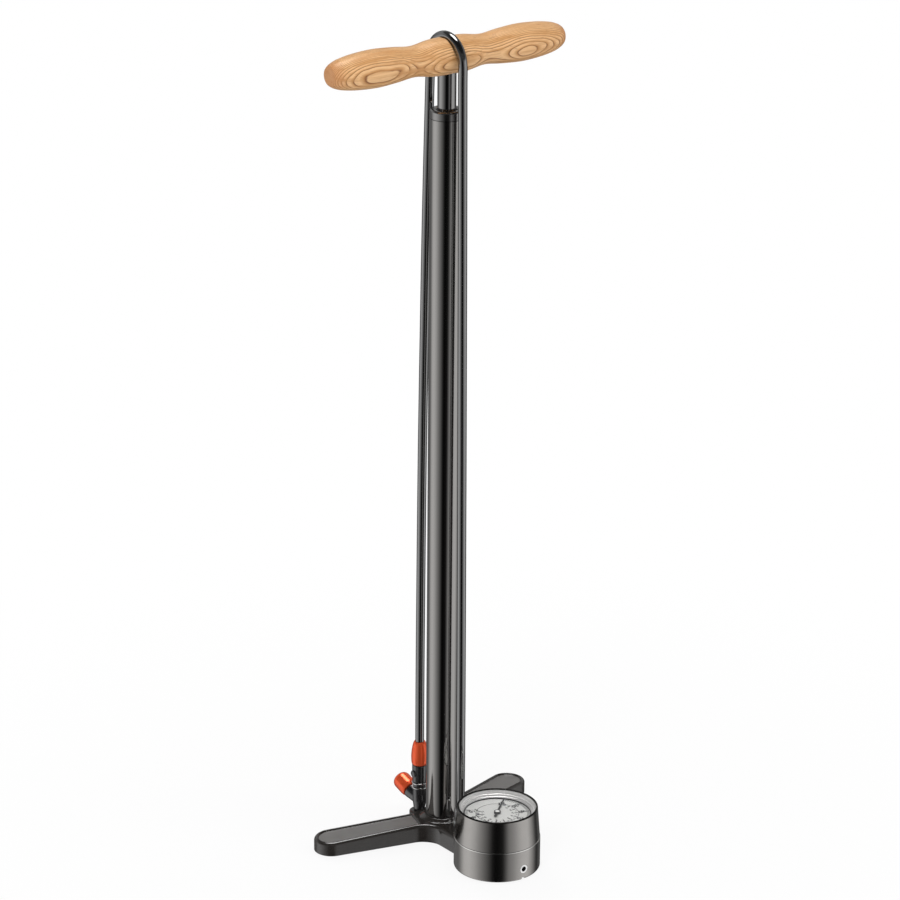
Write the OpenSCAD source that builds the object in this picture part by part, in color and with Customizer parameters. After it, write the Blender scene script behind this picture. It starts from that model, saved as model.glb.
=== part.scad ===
// Floor bike pump: steel barrel, turned wooden handle, cast foot with two swept legs,
// pressure gauge on the front arm, hose stowed over the handle and docked behind.
// Millimetres, +Z up, gauge towards -Y. The floor is z = 0.

/* [Barrel] */
// Outside diameter of the steel barrel
barrel_d = 28.6; // [27:0.1:31]
// Wall of the barrel
barrel_wall = 1.2; // [1:0.1:1.6]
// Height of the barrel's upper edge above the floor
barrel_top = 660; // [560:5:760]
// Height of the cap above the barrel's edge
cap_h = 8; // [7:0.5:12]
// Depth of the cap's plug inside the barrel
cap_plug = 20; // [14:1:30]

/* [Plunger] */
// Diameter of the piston rod
rod_d = 16; // [14:0.5:17]
// Wall of the rod's tube
rod_wall = 1.6; // [1:0.1:2.5]
// Length of rod that shows between the cap and the handle
rod_show = 29.5; // [20:0.5:60]
// Length of the piston
piston_h = 18; // [16:0.5:26]
// Thickness of the piston's seal ring
seal_t = 2.4; // [1.8:0.1:3]

/* [Handle] */
// Length of the wooden handle
handle_len = 241; // [211:2:301]
// Diameter of the handle over the rod
handle_mid_d = 32; // [30:0.5:38]
// Diameter of the two waists beside the middle
handle_waist_d = 26; // [23:0.5:30]
// Diameter of the two grips
handle_grip_d = 32; // [28:0.5:36]
// Diameter of the flat ends
handle_end_d = 17; // [12:0.5:22]
// Distance from the handle's middle to a waist
waist_at = 36; // [32:1:44]
// Distance from the handle's middle to the thickest place of a grip
grip_at = 75; // [68:1:86]
// Depth of the rod's hole in the handle
handle_hole = 17; // [14:0.5:19]

/* [Foot] */
// Distance from the barrel's axis to the centre of a leg's round tip
leg_reach = 104; // [90:1:125]
// Angle by which the legs sweep back
leg_sweep = 17; // [10:0.5:24]
// Width of a leg at its tip
leg_tip_w = 31; // [28:0.5:36]
// Width of a leg at the hub
leg_root_w = 27; // [24:0.5:30]
// Height of a leg at its tip
leg_tip_h = 13; // [11:0.5:16]
// Height of a leg at the hub
leg_root_h = 17; // [15:0.5:18.5]
// Rounding of the casting's upper edges
edge_r = 3; // [1.5:0.25:4]
// Depth of the panel sunk in the top of a leg
panel_depth = 1.3; // [0.4:0.1:1.5]
// Border between a leg's edge and its sunk panel
panel_border = 3.6; // [3:0.1:6]
// Height of the hub round the barrel
hub_h = 20; // [19:0.5:26]
// Thickness of the hub round the barrel
hub_wall = 4.6; // [3.5:0.1:7]
// Width of the front arm
arm_w = 37; // [32:0.5:42]
// Height of the front arm
arm_h = 17; // [15:0.5:18.5]
// Radius of the inner corners between the arm and the legs
corner_r = 14; // [8:0.5:20]
// Height of the socket's floor, where the barrel stands
seat_h = 9; // [8:0.5:10]
// Gap between the casting and the floor, taken up by the rubber feet
foot_gap = 0.5; // [0.25:0.25:1.5]
// Depth of the pockets that hold the rubber feet
foot_pocket = 1.5; // [1:0.25:2.5]

/* [Gauge] */
// Distance from the barrel's axis to the gauge's axis
gauge_reach = 80; // [78:0.5:95]
// Diameter of the gauge's lower shell
gauge_foot_d = 76; // [74:0.5:82]
// Diameter of the gauge's upper shell at its rim
gauge_rim_d = 71; // [70:0.5:74]
// Height of the joint between the two shells
gauge_joint_h = 28.5; // [27:0.5:32]
// Height of the gauge's rim
gauge_h = 57; // [56:0.5:66]
// Diameter of the dial that shows
dial_show_d = 58.5; // [54:0.5:60]
// Depth of the dial below the rim
dial_depth = 8.5; // [8.5:0.5:12]
// Length of the pointer from its axis
pointer_len = 24; // [18:0.5:27]
// Angle of the pointer at no pressure, from +X
pointer_rest = 40; // [20:1:60]

/* [Hose and chuck] */
// Diameter of the hose
hose_d = 8; // [7:0.25:8.5]
// Gap between the hub's foot and the docked chuck
dock_gap = 1.4; // [1:0.1:6]
// Gap between the hub and the hose fitting
fitting_gap = 1.1; // [0.8:0.1:3]
// Diameter of the chuck's body
chuck_d = 13.4; // [13:0.2:16]
// Diameter of the red nut that holds the hose
hose_nut_d = 15.2; // [14.2:0.2:17.4]
// Height of the docked chuck's shoulder, where the nut starts
chuck_h = 55; // [52:0.5:62]
// Length of the red nut
hose_nut_h = 22; // [19:0.5:27]
// Diameter of the side head's red cap
side_cap_d = 16.4; // [15.6:0.2:18]
// Length of the side head's red cap
side_cap_h = 17; // [15:0.5:22]
// Upward tilt of the side head
side_tilt = 19; // [12:0.5:24]
// Distance from the chuck's axis to the side head's red cap
side_reach = 14.5; // [13:0.5:22]
// Diameter of the button that lets air out of the chuck
bleed_d = 6.4; // [5.6:0.2:7]
// Distance from the nut down to the middle of the bleed button
bleed_drop = 8.5; // [7:0.5:10]
// Diameter of the socket for a tyre valve
valve_socket_d = 8; // [7.8:0.1:8.4]

/* [Fits] */
// Radial clearance of running pairs
running = 0.05; // [0.02:0.01:0.1]
// Radial clearance of pieces that are pushed together
slip = 0.1; // [0.05:0.05:0.2]
// Gap between pieces that move past each other
apart = 0.3; // [0.3:0.1:0.6]

/* [Hidden] */
$fn = 96;
eps = 0.01;
cut = 1;

// Heights and radii that follow from the sizes above
barrel_r = barrel_d / 2;
bore_r = barrel_r - barrel_wall;
rod_r = rod_d / 2;
cap_top = barrel_top + cap_h;
handle_z = cap_top + rod_show + handle_mid_d / 2;
gasket_h = 1;
barrel_bottom = seat_h + gasket_h;
foot_r = gauge_foot_d / 2;

// Cast foot: hub, legs and the boss that the chuck docks on
hub_r = barrel_r + hub_wall;
hub_fillet = 6;
hub_fillet_z = min(arm_h, leg_root_h) - 1;
leg_tip = [leg_reach * cos(leg_sweep), leg_reach * sin(leg_sweep)];
leg_tip_r = leg_tip_w / 2;
leg_root = [hub_r * cos(leg_sweep), hub_r * sin(leg_sweep)];
leg_root_r = leg_root_w / 2;
panel_start = hub_r + 5.6;
leg_slope = (leg_root_h - leg_tip_h) / (leg_reach - hub_r);
hollow_start = hub_r + 14;
hollow_end = leg_reach - 29;
hollow_wall = 5;
hollow_roof = 7;
foot_border = 5;
dock_boss_r = 9;
dock_boss_h = 9;
dock_reach = hub_r + hub_fillet + dock_gap + chuck_d / 2;

// Straight forward edge of a leg: its outward direction, and the round corner that meets the arm
leg_taper = asin((leg_tip_r - leg_root_r) / (leg_reach - hub_r));
leg_out = [sin(leg_sweep - leg_taper), -cos(leg_sweep - leg_taper)];
leg_edge = leg_root + leg_root_r * leg_out;
corner_x = arm_w / 2 + corner_r;
corner_y = leg_edge[1] + (corner_r - leg_out[0] * (corner_x - leg_edge[0])) / leg_out[1];

// The origin lies under the middle of the part's box
axis_y = (gauge_reach + foot_r - max(leg_tip[1] + leg_tip_r, dock_reach + dock_boss_r)) / 2;

// Check valve in the foot of the barrel
valve_h = 17;
valve_r = bore_r - slip;
valve_room_r = 6;
valve_room_h = 12;
valve_port_r = 2.5;
poppet_r = 5;
poppet_t = 2.5;
poppet_stem_r = 1.5;
poppet_travel = 2;
spring_wire = 0.7;
spring_r = 3.4;
spring_turns = 5;
spring_turn_rings = 12;
spring_sides = 6;
spring_seat = 0.05;
valve_ring_t = 1.8;
valve_ring_mid_r = bore_r - running - valve_ring_t / 2;
valve_top = seat_h + valve_h;
valve_ring_z = seat_h + valve_h / 2;
poppet_top = seat_h + valve_room_h - apart;
poppet_bottom = poppet_top - poppet_t;
stem_bottom = seat_h + poppet_travel + 1;
spring_low = seat_h + spring_wire / 2 + spring_seat;
spring_high = poppet_bottom - spring_wire / 2 - spring_seat;

// Piston and rod
piston_bottom = valve_top + apart;
piston_top = piston_bottom + piston_h;
piston_r = bore_r - apart;
seal_r = seal_t / 2;
seal_mid_r = bore_r - running - seal_r;
seal_z = piston_bottom + piston_h * 0.35;
rod_socket_h = piston_h * 0.4;
rod_bottom = piston_top - rod_socket_h + apart;
rod_top = handle_z - handle_mid_d / 2 + handle_hole;
bolt_r = 4;
bolt_head_r = 6.5;
bolt_head_h = 5;
hex_key_r = 3;
hex_key_h = 4;
plug_h = 24;
plug_floor = 4;
bumper_h = 6;
bumper_gap = 0.5;
wiper_h = 3;
cap_lip = 1.5;
wiper_top = cap_top - cap_lip;
bush_wall = 2;
bush_r = rod_r + running + bush_wall;

// Handle: the hose lies in a round groove across its top
groove_r = hose_d / 2 + 1;
groove_mid_r = 22.6;
groove_y = 0.7;
groove_z = handle_z - 5.3;
groove_floor = groove_z + groove_mid_r - groove_r;
bolt_cover = 1.5;
bolt_head_z = groove_floor - bolt_cover - bolt_head_h;

// Turned outline of half the handle [distance from the middle, radius]
half_len = handle_len / 2;
shoulder_at = waist_at * 0.47;
grip_tail = half_len - grip_at;
grip_r = handle_grip_d / 2;
end_r = handle_end_d / 2;
handle_stations = [
  [-shoulder_at, handle_mid_d / 2 - 0.5],
  [0, handle_mid_d / 2],
  [shoulder_at, handle_mid_d / 2 - 0.5],
  [waist_at, handle_waist_d / 2],
  [(waist_at + grip_at) / 2, (handle_waist_d + handle_grip_d) / 4 + 0.3],
  [grip_at, grip_r],
  [grip_at + grip_tail * 0.42, grip_r - 0.9],
  [grip_at + grip_tail * 0.74, grip_r - 3],
  [half_len - 4.5, end_r + 2.2],
  [half_len - 1.2, end_r + 0.4]
];
handle_side = [for (p = smooth(handle_stations, 5)) if (p[0] >= 0) [p[1], p[0]]];

// Gauge
rim_r = gauge_rim_d / 2;
shell_wall = 3;
shell_step = 0.4;
shell_bevel = 0.12;
shell_lip = 1;
spigot_h = 3;
pedestal_r = foot_r - shell_wall - slip;
pedestal_h = arm_h;
pedestal_wall = 4;
pedestal_core = 5;
rim_wall = 2.4;
rim_lap = 2.4;
case_r = rim_r - rim_wall;
case_wall = 1.2;
case_bottom = 20;
dial_z = gauge_h - dial_depth;
dial_t = 0.8;
dial_top = dial_z + dial_t;
dial_hole_r = 1.6;
lens_t = 1.6;
lens_gap = 2.6;
lens_z = dial_top + lens_gap;
lens_top = lens_z + lens_t;
lens_ring_h = 0.8;
lens_ring_w = 1.4;
lens_r = dial_show_d / 2 + 1.2;
module_size = 0.4;
pinion_teeth = 10;
sector_teeth = 60;
pinion_r = module_size * pinion_teeth / 2;
sector_r = module_size * sector_teeth / 2;
sector_turn = 45;
sector_axis = [0, -(pinion_r + sector_r)];
sector_pitch = 360 / sector_teeth;
sector_count = ceil(sector_turn / sector_pitch) + 5;
sector_tail = 7;
sector_boss_r = 2.4;
link_pin_r = 0.7;
arbor_r = 0.8;
arbor_top = dial_top + 1.6;
plate_r = 21;
plate_t = 1.2;
lower_plate_z = case_bottom + case_wall + 2;
upper_plate_z = dial_z - 4;
gear_z = (lower_plate_z + upper_plate_z) / 2;
gear_t = 1.6;
pillar_r = 1.6;
pillar_spots = [[-15, 9], [15, 9], [-18, -6], [18, -6]];
dial_screw_spots = [pillar_spots[0], pillar_spots[1]];
dial_screw_r = 0.8;
tube_mid_r = 26;
tube_t = 3;
tube_h = 9;
tube_in_r = tube_mid_r - tube_t / 2;
socket_w = 11;
stem_r = 5;
set_screw_r = 2.4;
set_screw_z = 10.3;
set_screw_bite = 5;
set_screw_head_r = 3.8;
set_screw_head_h = 1.2;
set_screw_reach = foot_r - pedestal_r + set_screw_bite - set_screw_head_h;
notch_w = 4;
notch_h = 2;

// Air ways inside the casting
air_r = 2;
air_z = 5.5;

// Chuck and hose ends
nozzle_r = chuck_d / 2 - 0.5;
nozzle_tip_r = nozzle_r - 1.2;
post_r = 2.6;
post_h = 14;
branch_z = 19.5;
neck_r = 5.2;
neck_collar_r = neck_r + 2;
neck_len = side_reach + 4;
cap_end = side_reach + side_cap_h;
side_gasket_h = 3.5;
gasket_grip = 0.5;
gasket_end = neck_len + side_gasket_h;
ring_z = [31.8, 36.2];
ring_h = 1.4;
ring_depth = 0.9;
collar_neck_r = hose_d / 2 + 0.9;
nut_bore_h = 14.5;
bleed_r = bleed_d / 2;
bleed_z = chuck_h - bleed_drop;
bleed_travel = 1;
bleed_proud = 1.6;
bleed_stem_r = 0.7;
bleed_floor = air_r + 0.8;
bleed_in = bleed_floor + bleed_travel + apart;
bleed_out = chuck_d / 2 + bleed_proud;
ferrule_r = hose_d / 2 + 1.4;
fitting_hex_r = 7;
fitting_hex_h = 6;
fitting_reach = hub_r + fitting_gap + fitting_hex_r;
ferrule_h = 11;
ferrule_z = arm_h + fitting_hex_h;
fitting_top = ferrule_z + ferrule_h;
nut_top = chuck_h + hose_nut_h;
hose_end_z = nut_top - nut_bore_h;

// Hose route: up in front of the barrel, over the handle, down behind it [y, z]
hose_route = [
  [-27, 34], [-27, 50], [-27, 80], [-26.8, 130], [-26.5, 180], [-26, 240], [-25.5, 300],
  [-25, 360], [-24.4, 420], [-23.8, 480], [-23.2, 540], [-22.5, 600], [-21.9, 650], [-21.4, 690],
  [-21.3, 708], [-19.6, 716.4], [-14.9, 723.6], [-7.7, 728.3], [0.7, 730], [9.1, 728.3],
  [16.3, 723.6], [21, 716.4], [22.7, 708], [23.3, 690], [24.6, 650], [26.2, 600], [27.8, 540],
  [29, 480], [30.2, 420], [31.2, 360], [31.9, 300], [32.4, 240], [32.8, 180], [33, 130],
  [33, 90], [33, 62.5]
];
hose_steps = 2;
hose_sides = 12;
hose_line = [for (p = smooth(hose_route, hose_steps)) [0, p[0], p[1]]];
hose_outs = [for (p = hose_line) [1, 0, 0]];

// Helpers

module place() {
  translate([0, axis_y, 0]) children();
}

module at_gauge() {
  place() translate([0, -gauge_reach, 0]) children();
}

module at_dock() {
  place() translate([0, dock_reach, 0]) children();
}

// The side head's own axis becomes +Z, from the chuck's axis outwards
module at_side_head() {
  at_dock() translate([0, 0, branch_z]) rotate([side_tilt - 90, 0, 0]) children();
}

module post(r, z0, z1) {
  translate([0, 0, z0]) cylinder(r = r, h = z1 - z0);
}

module hoop(r_out, r_in, z0, z1) {
  difference() {
    post(r_out, z0, z1);
    post(r_in, z0 - cut, z1 + cut);
  }
}

module torus(mid_r, r) {
  rotate_extrude() translate([mid_r, 0]) circle(r = r, $fn = 32);
}

// Round block with a rounded upper edge
module puck(r, z0, z1, edge) {
  rotate_extrude($fn = 32) difference() {
    translate([0, z0]) square([r, z1 - z0]);
    translate([r - edge, z1 - edge]) difference() {
      square(edge + cut);
      circle(r = edge, $fn = 24);
    }
  }
}

function arc(centre, r, from, to, steps) =
  [for (i = [0 : steps]) let (a = from + (to - from) * i / steps) centre + r * [cos(a), sin(a)]];

// Smooth curve through points, with a number of steps between neighbours
function curve_point(p, i, t) =
  let (
    a = p[max(i - 1, 0)],
    b = p[i],
    c = p[i + 1],
    d = p[min(i + 2, len(p) - 1)]
  )
  0.5 * (2 * b + (c - a) * t + (2 * a - 5 * b + 4 * c - d) * t * t + (3 * b - a - 3 * c + d) * t * t * t);

function smooth(p, steps) =
  [for (i = [0 : len(p) - 2]) for (k = [0 : steps - 1]) curve_point(p, i, k / steps), p[len(p) - 1]];

// Tube along a line of points: each ring stands square to the line
function unit(v) = v / norm(v);

function line_way(line, i) = unit(line[min(i + 1, len(line) - 1)] - line[max(i - 1, 0)]);

function ring_points(line, sides, i, r, out) =
  let (w = unit(cross(line_way(line, i), out)), u = cross(w, line_way(line, i)))
  [for (k = [0 : sides - 1]) line[i] + r * (cos(360 * k / sides) * u + sin(360 * k / sides) * w)];

module swept_tube(line, outs, r, sides) {
  rings = [for (i = [0 : len(line) - 1]) each ring_points(line, sides, i, r, outs[i])];
  last = (len(line) - 1) * sides;
  sides_faces = [
    for (i = [0 : len(line) - 2]) for (k = [0 : sides - 1])
      let (a = i * sides + k, b = i * sides + (k + 1) % sides)
      each [[a, b, b + sides], [a, b + sides, a + sides]]
  ];
  start_faces = [for (k = [1 : sides - 2]) [0, k + 1, k]];
  end_faces = [for (k = [1 : sides - 2]) [last, last + k, last + k + 1]];
  polyhedron(points = rings, faces = concat(sides_faces, start_faces, end_faces));
}

// Cast foot

function leg_at(distance) = distance * [cos(leg_sweep), sin(leg_sweep), 0];

module leg() {
  hull() {
    translate(leg_tip) puck(leg_tip_r, foot_gap, leg_tip_h, edge_r);
    translate(leg_root) puck(leg_root_r, foot_gap, leg_root_h, edge_r);
  }
}

// Sunk panel: a slice that follows the leg's sloping top, round at the tip and straight at the hub
module leg_panel() {
  start_top = leg_root_h - leg_slope * (panel_start - hub_r);
  start_r = leg_root_r - panel_border;
  bar = 0.5;
  hull() {
    translate(leg_tip) post(leg_tip_r - panel_border, leg_tip_h - panel_depth, leg_tip_h + cut);
    rotate([0, 0, leg_sweep]) translate([panel_start, -start_r, start_top - panel_depth])
      cube([bar, 2 * start_r, panel_depth + cut]);
  }
}

// Hollow under a leg, between the tip's boss and the hub
module leg_hollow() {
  end_top = leg_tip_h + leg_slope * (leg_reach - hollow_end);
  hull() {
    translate(leg_at(hollow_end)) post(leg_tip_r - hollow_wall, -cut, end_top - hollow_roof);
    translate(leg_at(hollow_start)) post(leg_root_r - hollow_wall, -cut, leg_root_h - hollow_roof);
  }
}

// Web that fills the inner corner between the arm and a leg, with a rounded upper edge
module corner_web() {
  touch = [corner_x, corner_y] - corner_r * leg_out;
  touch_at = touch * [cos(leg_sweep), sin(leg_sweep)];
  web_top = min(arm_h, leg_root_h - leg_slope * (touch_at - hub_r));
  difference() {
    translate([0, 0, foot_gap]) linear_extrude(web_top - foot_gap) difference() {
      polygon([[0, corner_y], [arm_w / 2, corner_y], touch, leg_root, [0, 0]]);
      translate([corner_x, corner_y]) circle(r = corner_r);
    }
    translate([corner_x, corner_y, 0]) rotate_extrude() polygon(concat(
      [[0, web_top + cut], [0, web_top - edge_r]],
      arc([corner_r + edge_r, web_top - edge_r], edge_r, 180, 90, 6),
      [[corner_r + edge_r, web_top + cut]]
    ));
  }
}

// Hub: a round tower with a hollow fillet running down to the legs
module hub() {
  top_edge = 1.2;
  low_r = hub_r + hub_fillet;
  rotate_extrude() polygon(concat(
    [[0, foot_gap], [low_r, foot_gap]],
    arc([low_r, hub_fillet_z], hub_fillet, 270, 180, 8),
    arc([hub_r - top_edge, hub_h - top_edge], top_edge, 0, 90, 6),
    [[0, hub_h]]
  ));
}

module base_casting() {
  color("#1c1c1e") place() difference() {
    union() {
      hub();
      for (side = [0, 1]) mirror([side, 0, 0]) {
        leg();
        corner_web();
      }
      hull() {
        puck(arm_w / 2, foot_gap, arm_h, edge_r);
        translate([0, -gauge_reach + foot_r - arm_w / 2, 0]) puck(arm_w / 2, foot_gap, arm_h, edge_r);
      }
      translate([0, -gauge_reach, 0]) post(pedestal_r, foot_gap, pedestal_h);
      translate([-dock_boss_r, 0, foot_gap])
        cube([2 * dock_boss_r, dock_reach, dock_boss_h - foot_gap]);
      translate([0, dock_reach, 0]) post(dock_boss_r, foot_gap, dock_boss_h);
      translate([0, dock_reach, 0]) post(post_r, dock_boss_h - eps, dock_boss_h + post_h);
    }
    for (side = [0, 1]) mirror([side, 0, 0]) {
      leg_panel();
      leg_hollow();
      translate(leg_tip) post(rubber_r(leg_tip_r) + slip, -cut, foot_gap + foot_pocket);
    }
    translate([0, -gauge_reach, 0]) post(rubber_r(pedestal_r) + slip, -cut, foot_gap + foot_pocket);
    translate([0, -gauge_reach, 0]) 
      hoop(pedestal_r - pedestal_wall, stem_r + pedestal_core, seat_h, pedestal_h + cut);
    post(barrel_r + slip, seat_h, hub_h + cut);
    post(air_r, air_z, seat_h + cut);
    translate([0, 0, air_z]) rotate([90, 0, 0]) cylinder(r = air_r, h = gauge_reach);
    translate([0, -fitting_reach, 0]) post(air_r, air_z, arm_h + cut);
    translate([0, -gauge_reach, 0]) post(air_r, air_z, pedestal_h + cut);
    at_set_screw() cylinder(r = set_screw_r, h = foot_r);
  }
}

function rubber_r(round_r) = round_r - foot_border;

// The set screw's axis points outwards at the front of the gauge's lower shell
module at_set_screw() {
  translate([0, -gauge_reach - pedestal_r + set_screw_bite, set_screw_z]) rotate([90, 0, 0]) children();
}

module rubber_feet() {
  color("#161616") place() {
    for (side = [-1, 1]) translate([side * leg_tip[0], leg_tip[1], 0]) {
      post(rubber_r(leg_tip_r), 0, foot_gap + foot_pocket);
    }
    translate([0, -gauge_reach, 0]) post(rubber_r(pedestal_r), 0, foot_gap + foot_pocket);
  }
}

// Barrel

module barrel_gasket() {
  color("#202020") place() hoop(barrel_r, bore_r, seat_h, barrel_bottom);
}

module barrel() {
  color("#141416") place() hoop(barrel_r, bore_r, barrel_bottom, barrel_top);
}

module barrel_cap() {
  edge = 2;
  seam = 0.5;
  plug_r = bore_r - slip;
  lip_r = rod_r + 1.2;
  color("#18181a") place() rotate_extrude() polygon(concat(
    [[bush_r, barrel_top - cap_plug], [plug_r, barrel_top - cap_plug], [plug_r, barrel_top]],
    [[barrel_r - seam, barrel_top], [barrel_r, barrel_top + seam]],
    arc([barrel_r - edge, cap_top - edge], edge, 0, 90, 8),
    [[lip_r + 1, cap_top], [lip_r, cap_top - 1], [lip_r, wiper_top], [bush_r, wiper_top]]
  ));
}

module rod_bushing() {
  color("#e8e4da") place()
    hoop(bush_r, rod_r + running, barrel_top - cap_plug, wiper_top - wiper_h);
}

module rod_wiper() {
  color("#1a1a1a") place() hoop(bush_r, rod_r + running, wiper_top - wiper_h, wiper_top);
}

// Check valve

module check_valve_body() {
  ring_in_r = valve_ring_mid_r - valve_ring_t / 2;
  ring_room = (valve_ring_t + slip) / 2;
  color("#c9b36a") place() difference() {
    post(valve_r, seat_h, valve_top);
    post(valve_room_r, seat_h - cut, seat_h + valve_room_h);
    post(valve_port_r, seat_h, valve_top + cut);
    hoop(valve_r + cut, ring_in_r, valve_ring_z - ring_room, valve_ring_z + ring_room);
  }
}

module check_valve_seal() {
  color("#1a1a1a") place() translate([0, 0, valve_ring_z])
    torus(valve_ring_mid_r, valve_ring_t / 2);
}

module check_valve_spring() {
  rings = spring_turns * spring_turn_rings;
  angles = [for (i = [0 : rings]) 360 * i / spring_turn_rings];
  rise = (spring_high - spring_low) / rings;
  outs = [for (a = angles) [cos(a), sin(a), 0]];
  line = [for (i = [0 : rings]) spring_r * outs[i] + [0, 0, spring_low + rise * i]];
  least_gap = min([for (i = [0 : rings - spring_turn_rings])
    norm(line[i + spring_turn_rings] - line[i]) - spring_wire]);
  echo(spring_least_gap = least_gap);
  color("#b8bcc2") place() swept_tube(line, outs, spring_wire / 2, spring_sides);
}

module check_valve_poppet() {
  color("#2c2c2c") place() {
    post(poppet_r, poppet_bottom, poppet_top);
    post(poppet_stem_r, stem_bottom, poppet_bottom + eps);
  }
}

// Plunger

module piston() {
  groove_h = seal_t + 2 * apart;
  color("#d8d4c8") place() difference() {
    post(piston_r, piston_bottom, piston_top);
    hoop(bore_r, seal_mid_r - seal_r - running, seal_z - groove_h / 2, seal_z + groove_h / 2);
    post(rod_r + running, piston_top - rod_socket_h, piston_top + cut);
    post(bolt_r + slip, piston_bottom - cut, piston_top);
    post(bolt_head_r + slip, piston_bottom - cut, piston_bottom + bolt_head_h);
  }
}

module piston_seal() {
  color("#181818") place() translate([0, 0, seal_z]) torus(seal_mid_r, seal_r);
}

module piston_bolt() {
  shank_top = piston_top - rod_socket_h;
  color("#8f9399") place() difference() {
    union() {
      post(bolt_head_r, piston_bottom + eps, piston_bottom + bolt_head_h);
      post(bolt_r, piston_bottom + bolt_head_h - eps, shank_top);
    }
    translate([0, 0, piston_bottom - cut]) cylinder(r = hex_key_r, h = hex_key_h, $fn = 6);
  }
}

module piston_rod() {
  color("#1b1b1d") place() hoop(rod_r, rod_r - rod_wall, rod_bottom, rod_top);
}

module rod_plug() {
  color("#a8a8a8") place() difference() {
    post(rod_r - rod_wall, rod_top - plug_h, rod_top);
    post(bolt_r, rod_top - plug_h + plug_floor, rod_top + cut);
  }
}

module top_bumper() {
  low = piston_top + apart;
  color("#222222") place() hoop(piston_r - bumper_gap, rod_r, low, low + bumper_h);
}

module handle_grip() {
  outline = concat([[0, 0]], handle_side, [[end_r - 1, half_len], [0, half_len]]);
  color("#d9a35f") place() difference() {
    translate([0, 0, handle_z]) for (side = [-1, 1]) {
      rotate([0, side * 90, 0]) rotate_extrude() polygon(outline);
    }
    post(rod_r + running, handle_z - handle_mid_d, rod_top);
    post(bolt_r + slip, rod_top - cut, handle_z + handle_mid_d);
    post(bolt_head_r + slip, bolt_head_z, handle_z + handle_mid_d);
    translate([0, groove_y, groove_z]) rotate([0, 90, 0]) torus(groove_mid_r, groove_r);
  }
}

module handle_bolt() {
  color("#6d7075") place() difference() {
    union() {
      post(bolt_head_r, bolt_head_z, bolt_head_z + bolt_head_h);
      post(bolt_r, rod_top - plug_h + plug_floor + 2, bolt_head_z + eps);
    }
    translate([0, 0, bolt_head_z + bolt_head_h - hex_key_h + cut])
      cylinder(r = hex_key_r, h = hex_key_h, $fn = 6);
  }
}

// Gauge shells

module gauge_foot() {
  inner_r = foot_r - shell_wall;
  edge = 1.5;
  arm_gap_w = arm_w + 2 * slip;
  color("#3a3938") at_gauge() difference() {
    rotate_extrude() polygon(concat(
      [[inner_r, foot_gap], [foot_r - edge, foot_gap]],
      arc([foot_r - edge, foot_gap + edge], edge, -90, 0, 6),
      [[foot_r, gauge_joint_h - shell_bevel], [foot_r - shell_bevel, gauge_joint_h]],
      [[inner_r, gauge_joint_h]]
    ));
    translate([-arm_gap_w / 2, 0, -cut]) cube([arm_gap_w, foot_r + cut, arm_h + slip + cut]);
    translate([0, -foot_r, foot_gap]) cube([notch_w, 3 * shell_wall, 2 * notch_h], center = true);
    translate([0, gauge_reach, 0]) at_set_screw() {
      cylinder(r = set_screw_r + slip, h = foot_r);
      translate([0, 0, set_screw_reach]) cylinder(r = set_screw_head_r + slip, h = foot_r);
    }
  }
}

module gauge_set_screw() {
  head_top = set_screw_reach + set_screw_head_h;
  key_r = 2;
  key_h = 3;
  color("#c8c8c8") place() at_set_screw() difference() {
    union() {
      cylinder(r = set_screw_r, h = set_screw_reach + eps);
      translate([0, 0, set_screw_reach]) cylinder(r = set_screw_head_r, h = set_screw_head_h);
    }
    translate([0, 0, head_top - key_h]) cylinder(r = key_r, h = key_h + cut, $fn = 6);
  }
}

// Tapered upper shell with a spigot that seats in the lower one
module gauge_shroud() {
  low_r = foot_r - shell_step;
  inner_r = case_r + slip;
  spigot_r = foot_r - shell_wall - slip;
  spigot_z = gauge_joint_h - spigot_h;
  inner_lip = 0.4;
  color("#3a3938") at_gauge() rotate_extrude() polygon(concat(
    [[inner_r, spigot_z], [spigot_r, spigot_z], [spigot_r, gauge_joint_h]],
    [[low_r - shell_bevel, gauge_joint_h], [low_r, gauge_joint_h + shell_bevel]],
    arc([rim_r - shell_lip, gauge_h - shell_lip], shell_lip, 0, 90, 6),
    arc([rim_r - shell_lip - inner_lip, gauge_h - inner_lip], inner_lip, 90, 180, 4),
    [[inner_r, gauge_h - rim_lap]]
  ));
}

module gauge_case() {
  color("#55565a") at_gauge() difference() {
    post(case_r, case_bottom, dial_z);
    post(case_r - case_wall, case_bottom + case_wall, dial_z + cut);
    post(stem_r + slip, case_bottom - cut, case_bottom + case_wall + cut);
  }
}

module gauge_socket() {
  case_floor = case_bottom + case_wall;
  head_start = plate_r + slip;
  color("#c2a14a") at_gauge() difference() {
    union() {
      post(stem_r, pedestal_h, lower_plate_z);
      translate([-socket_w / 2, 0, case_floor])
        cube([socket_w, tube_in_r, lower_plate_z - case_floor]);
      translate([-socket_w / 2, head_start, lower_plate_z - eps])
        cube([socket_w, tube_in_r - head_start, tube_h + 1]);
    }
    post(air_r, pedestal_h - cut, lower_plate_z - 1);
    hoop(case_r, tube_in_r, pedestal_h, dial_z);
  }
}

// Flattened spring tube, bent round the movement
module bourdon_tube() {
  sweep = 280;
  mid_z = lower_plate_z + 1 + tube_h / 2;
  flat_h = tube_h - tube_t;
  color("#c98f4a") at_gauge() translate([0, 0, mid_z]) rotate(90) rotate_extrude(angle = sweep) {
    for (z = [-flat_h / 2, flat_h / 2]) translate([tube_mid_r, z]) circle(r = tube_t / 2, $fn = 24);
    translate([tube_in_r, -flat_h / 2]) square([tube_t, flat_h]);
  }
}

module movement_plates() {
  color("#caa94e") at_gauge() for (z = [lower_plate_z, upper_plate_z]) {
    difference() {
      post(plate_r, z, z + plate_t);
      post(arbor_r + running, z - cut, z + plate_t + cut);
      translate(sector_axis) post(arbor_r + running, z - cut, z + plate_t + cut);
    }
  }
}

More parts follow.
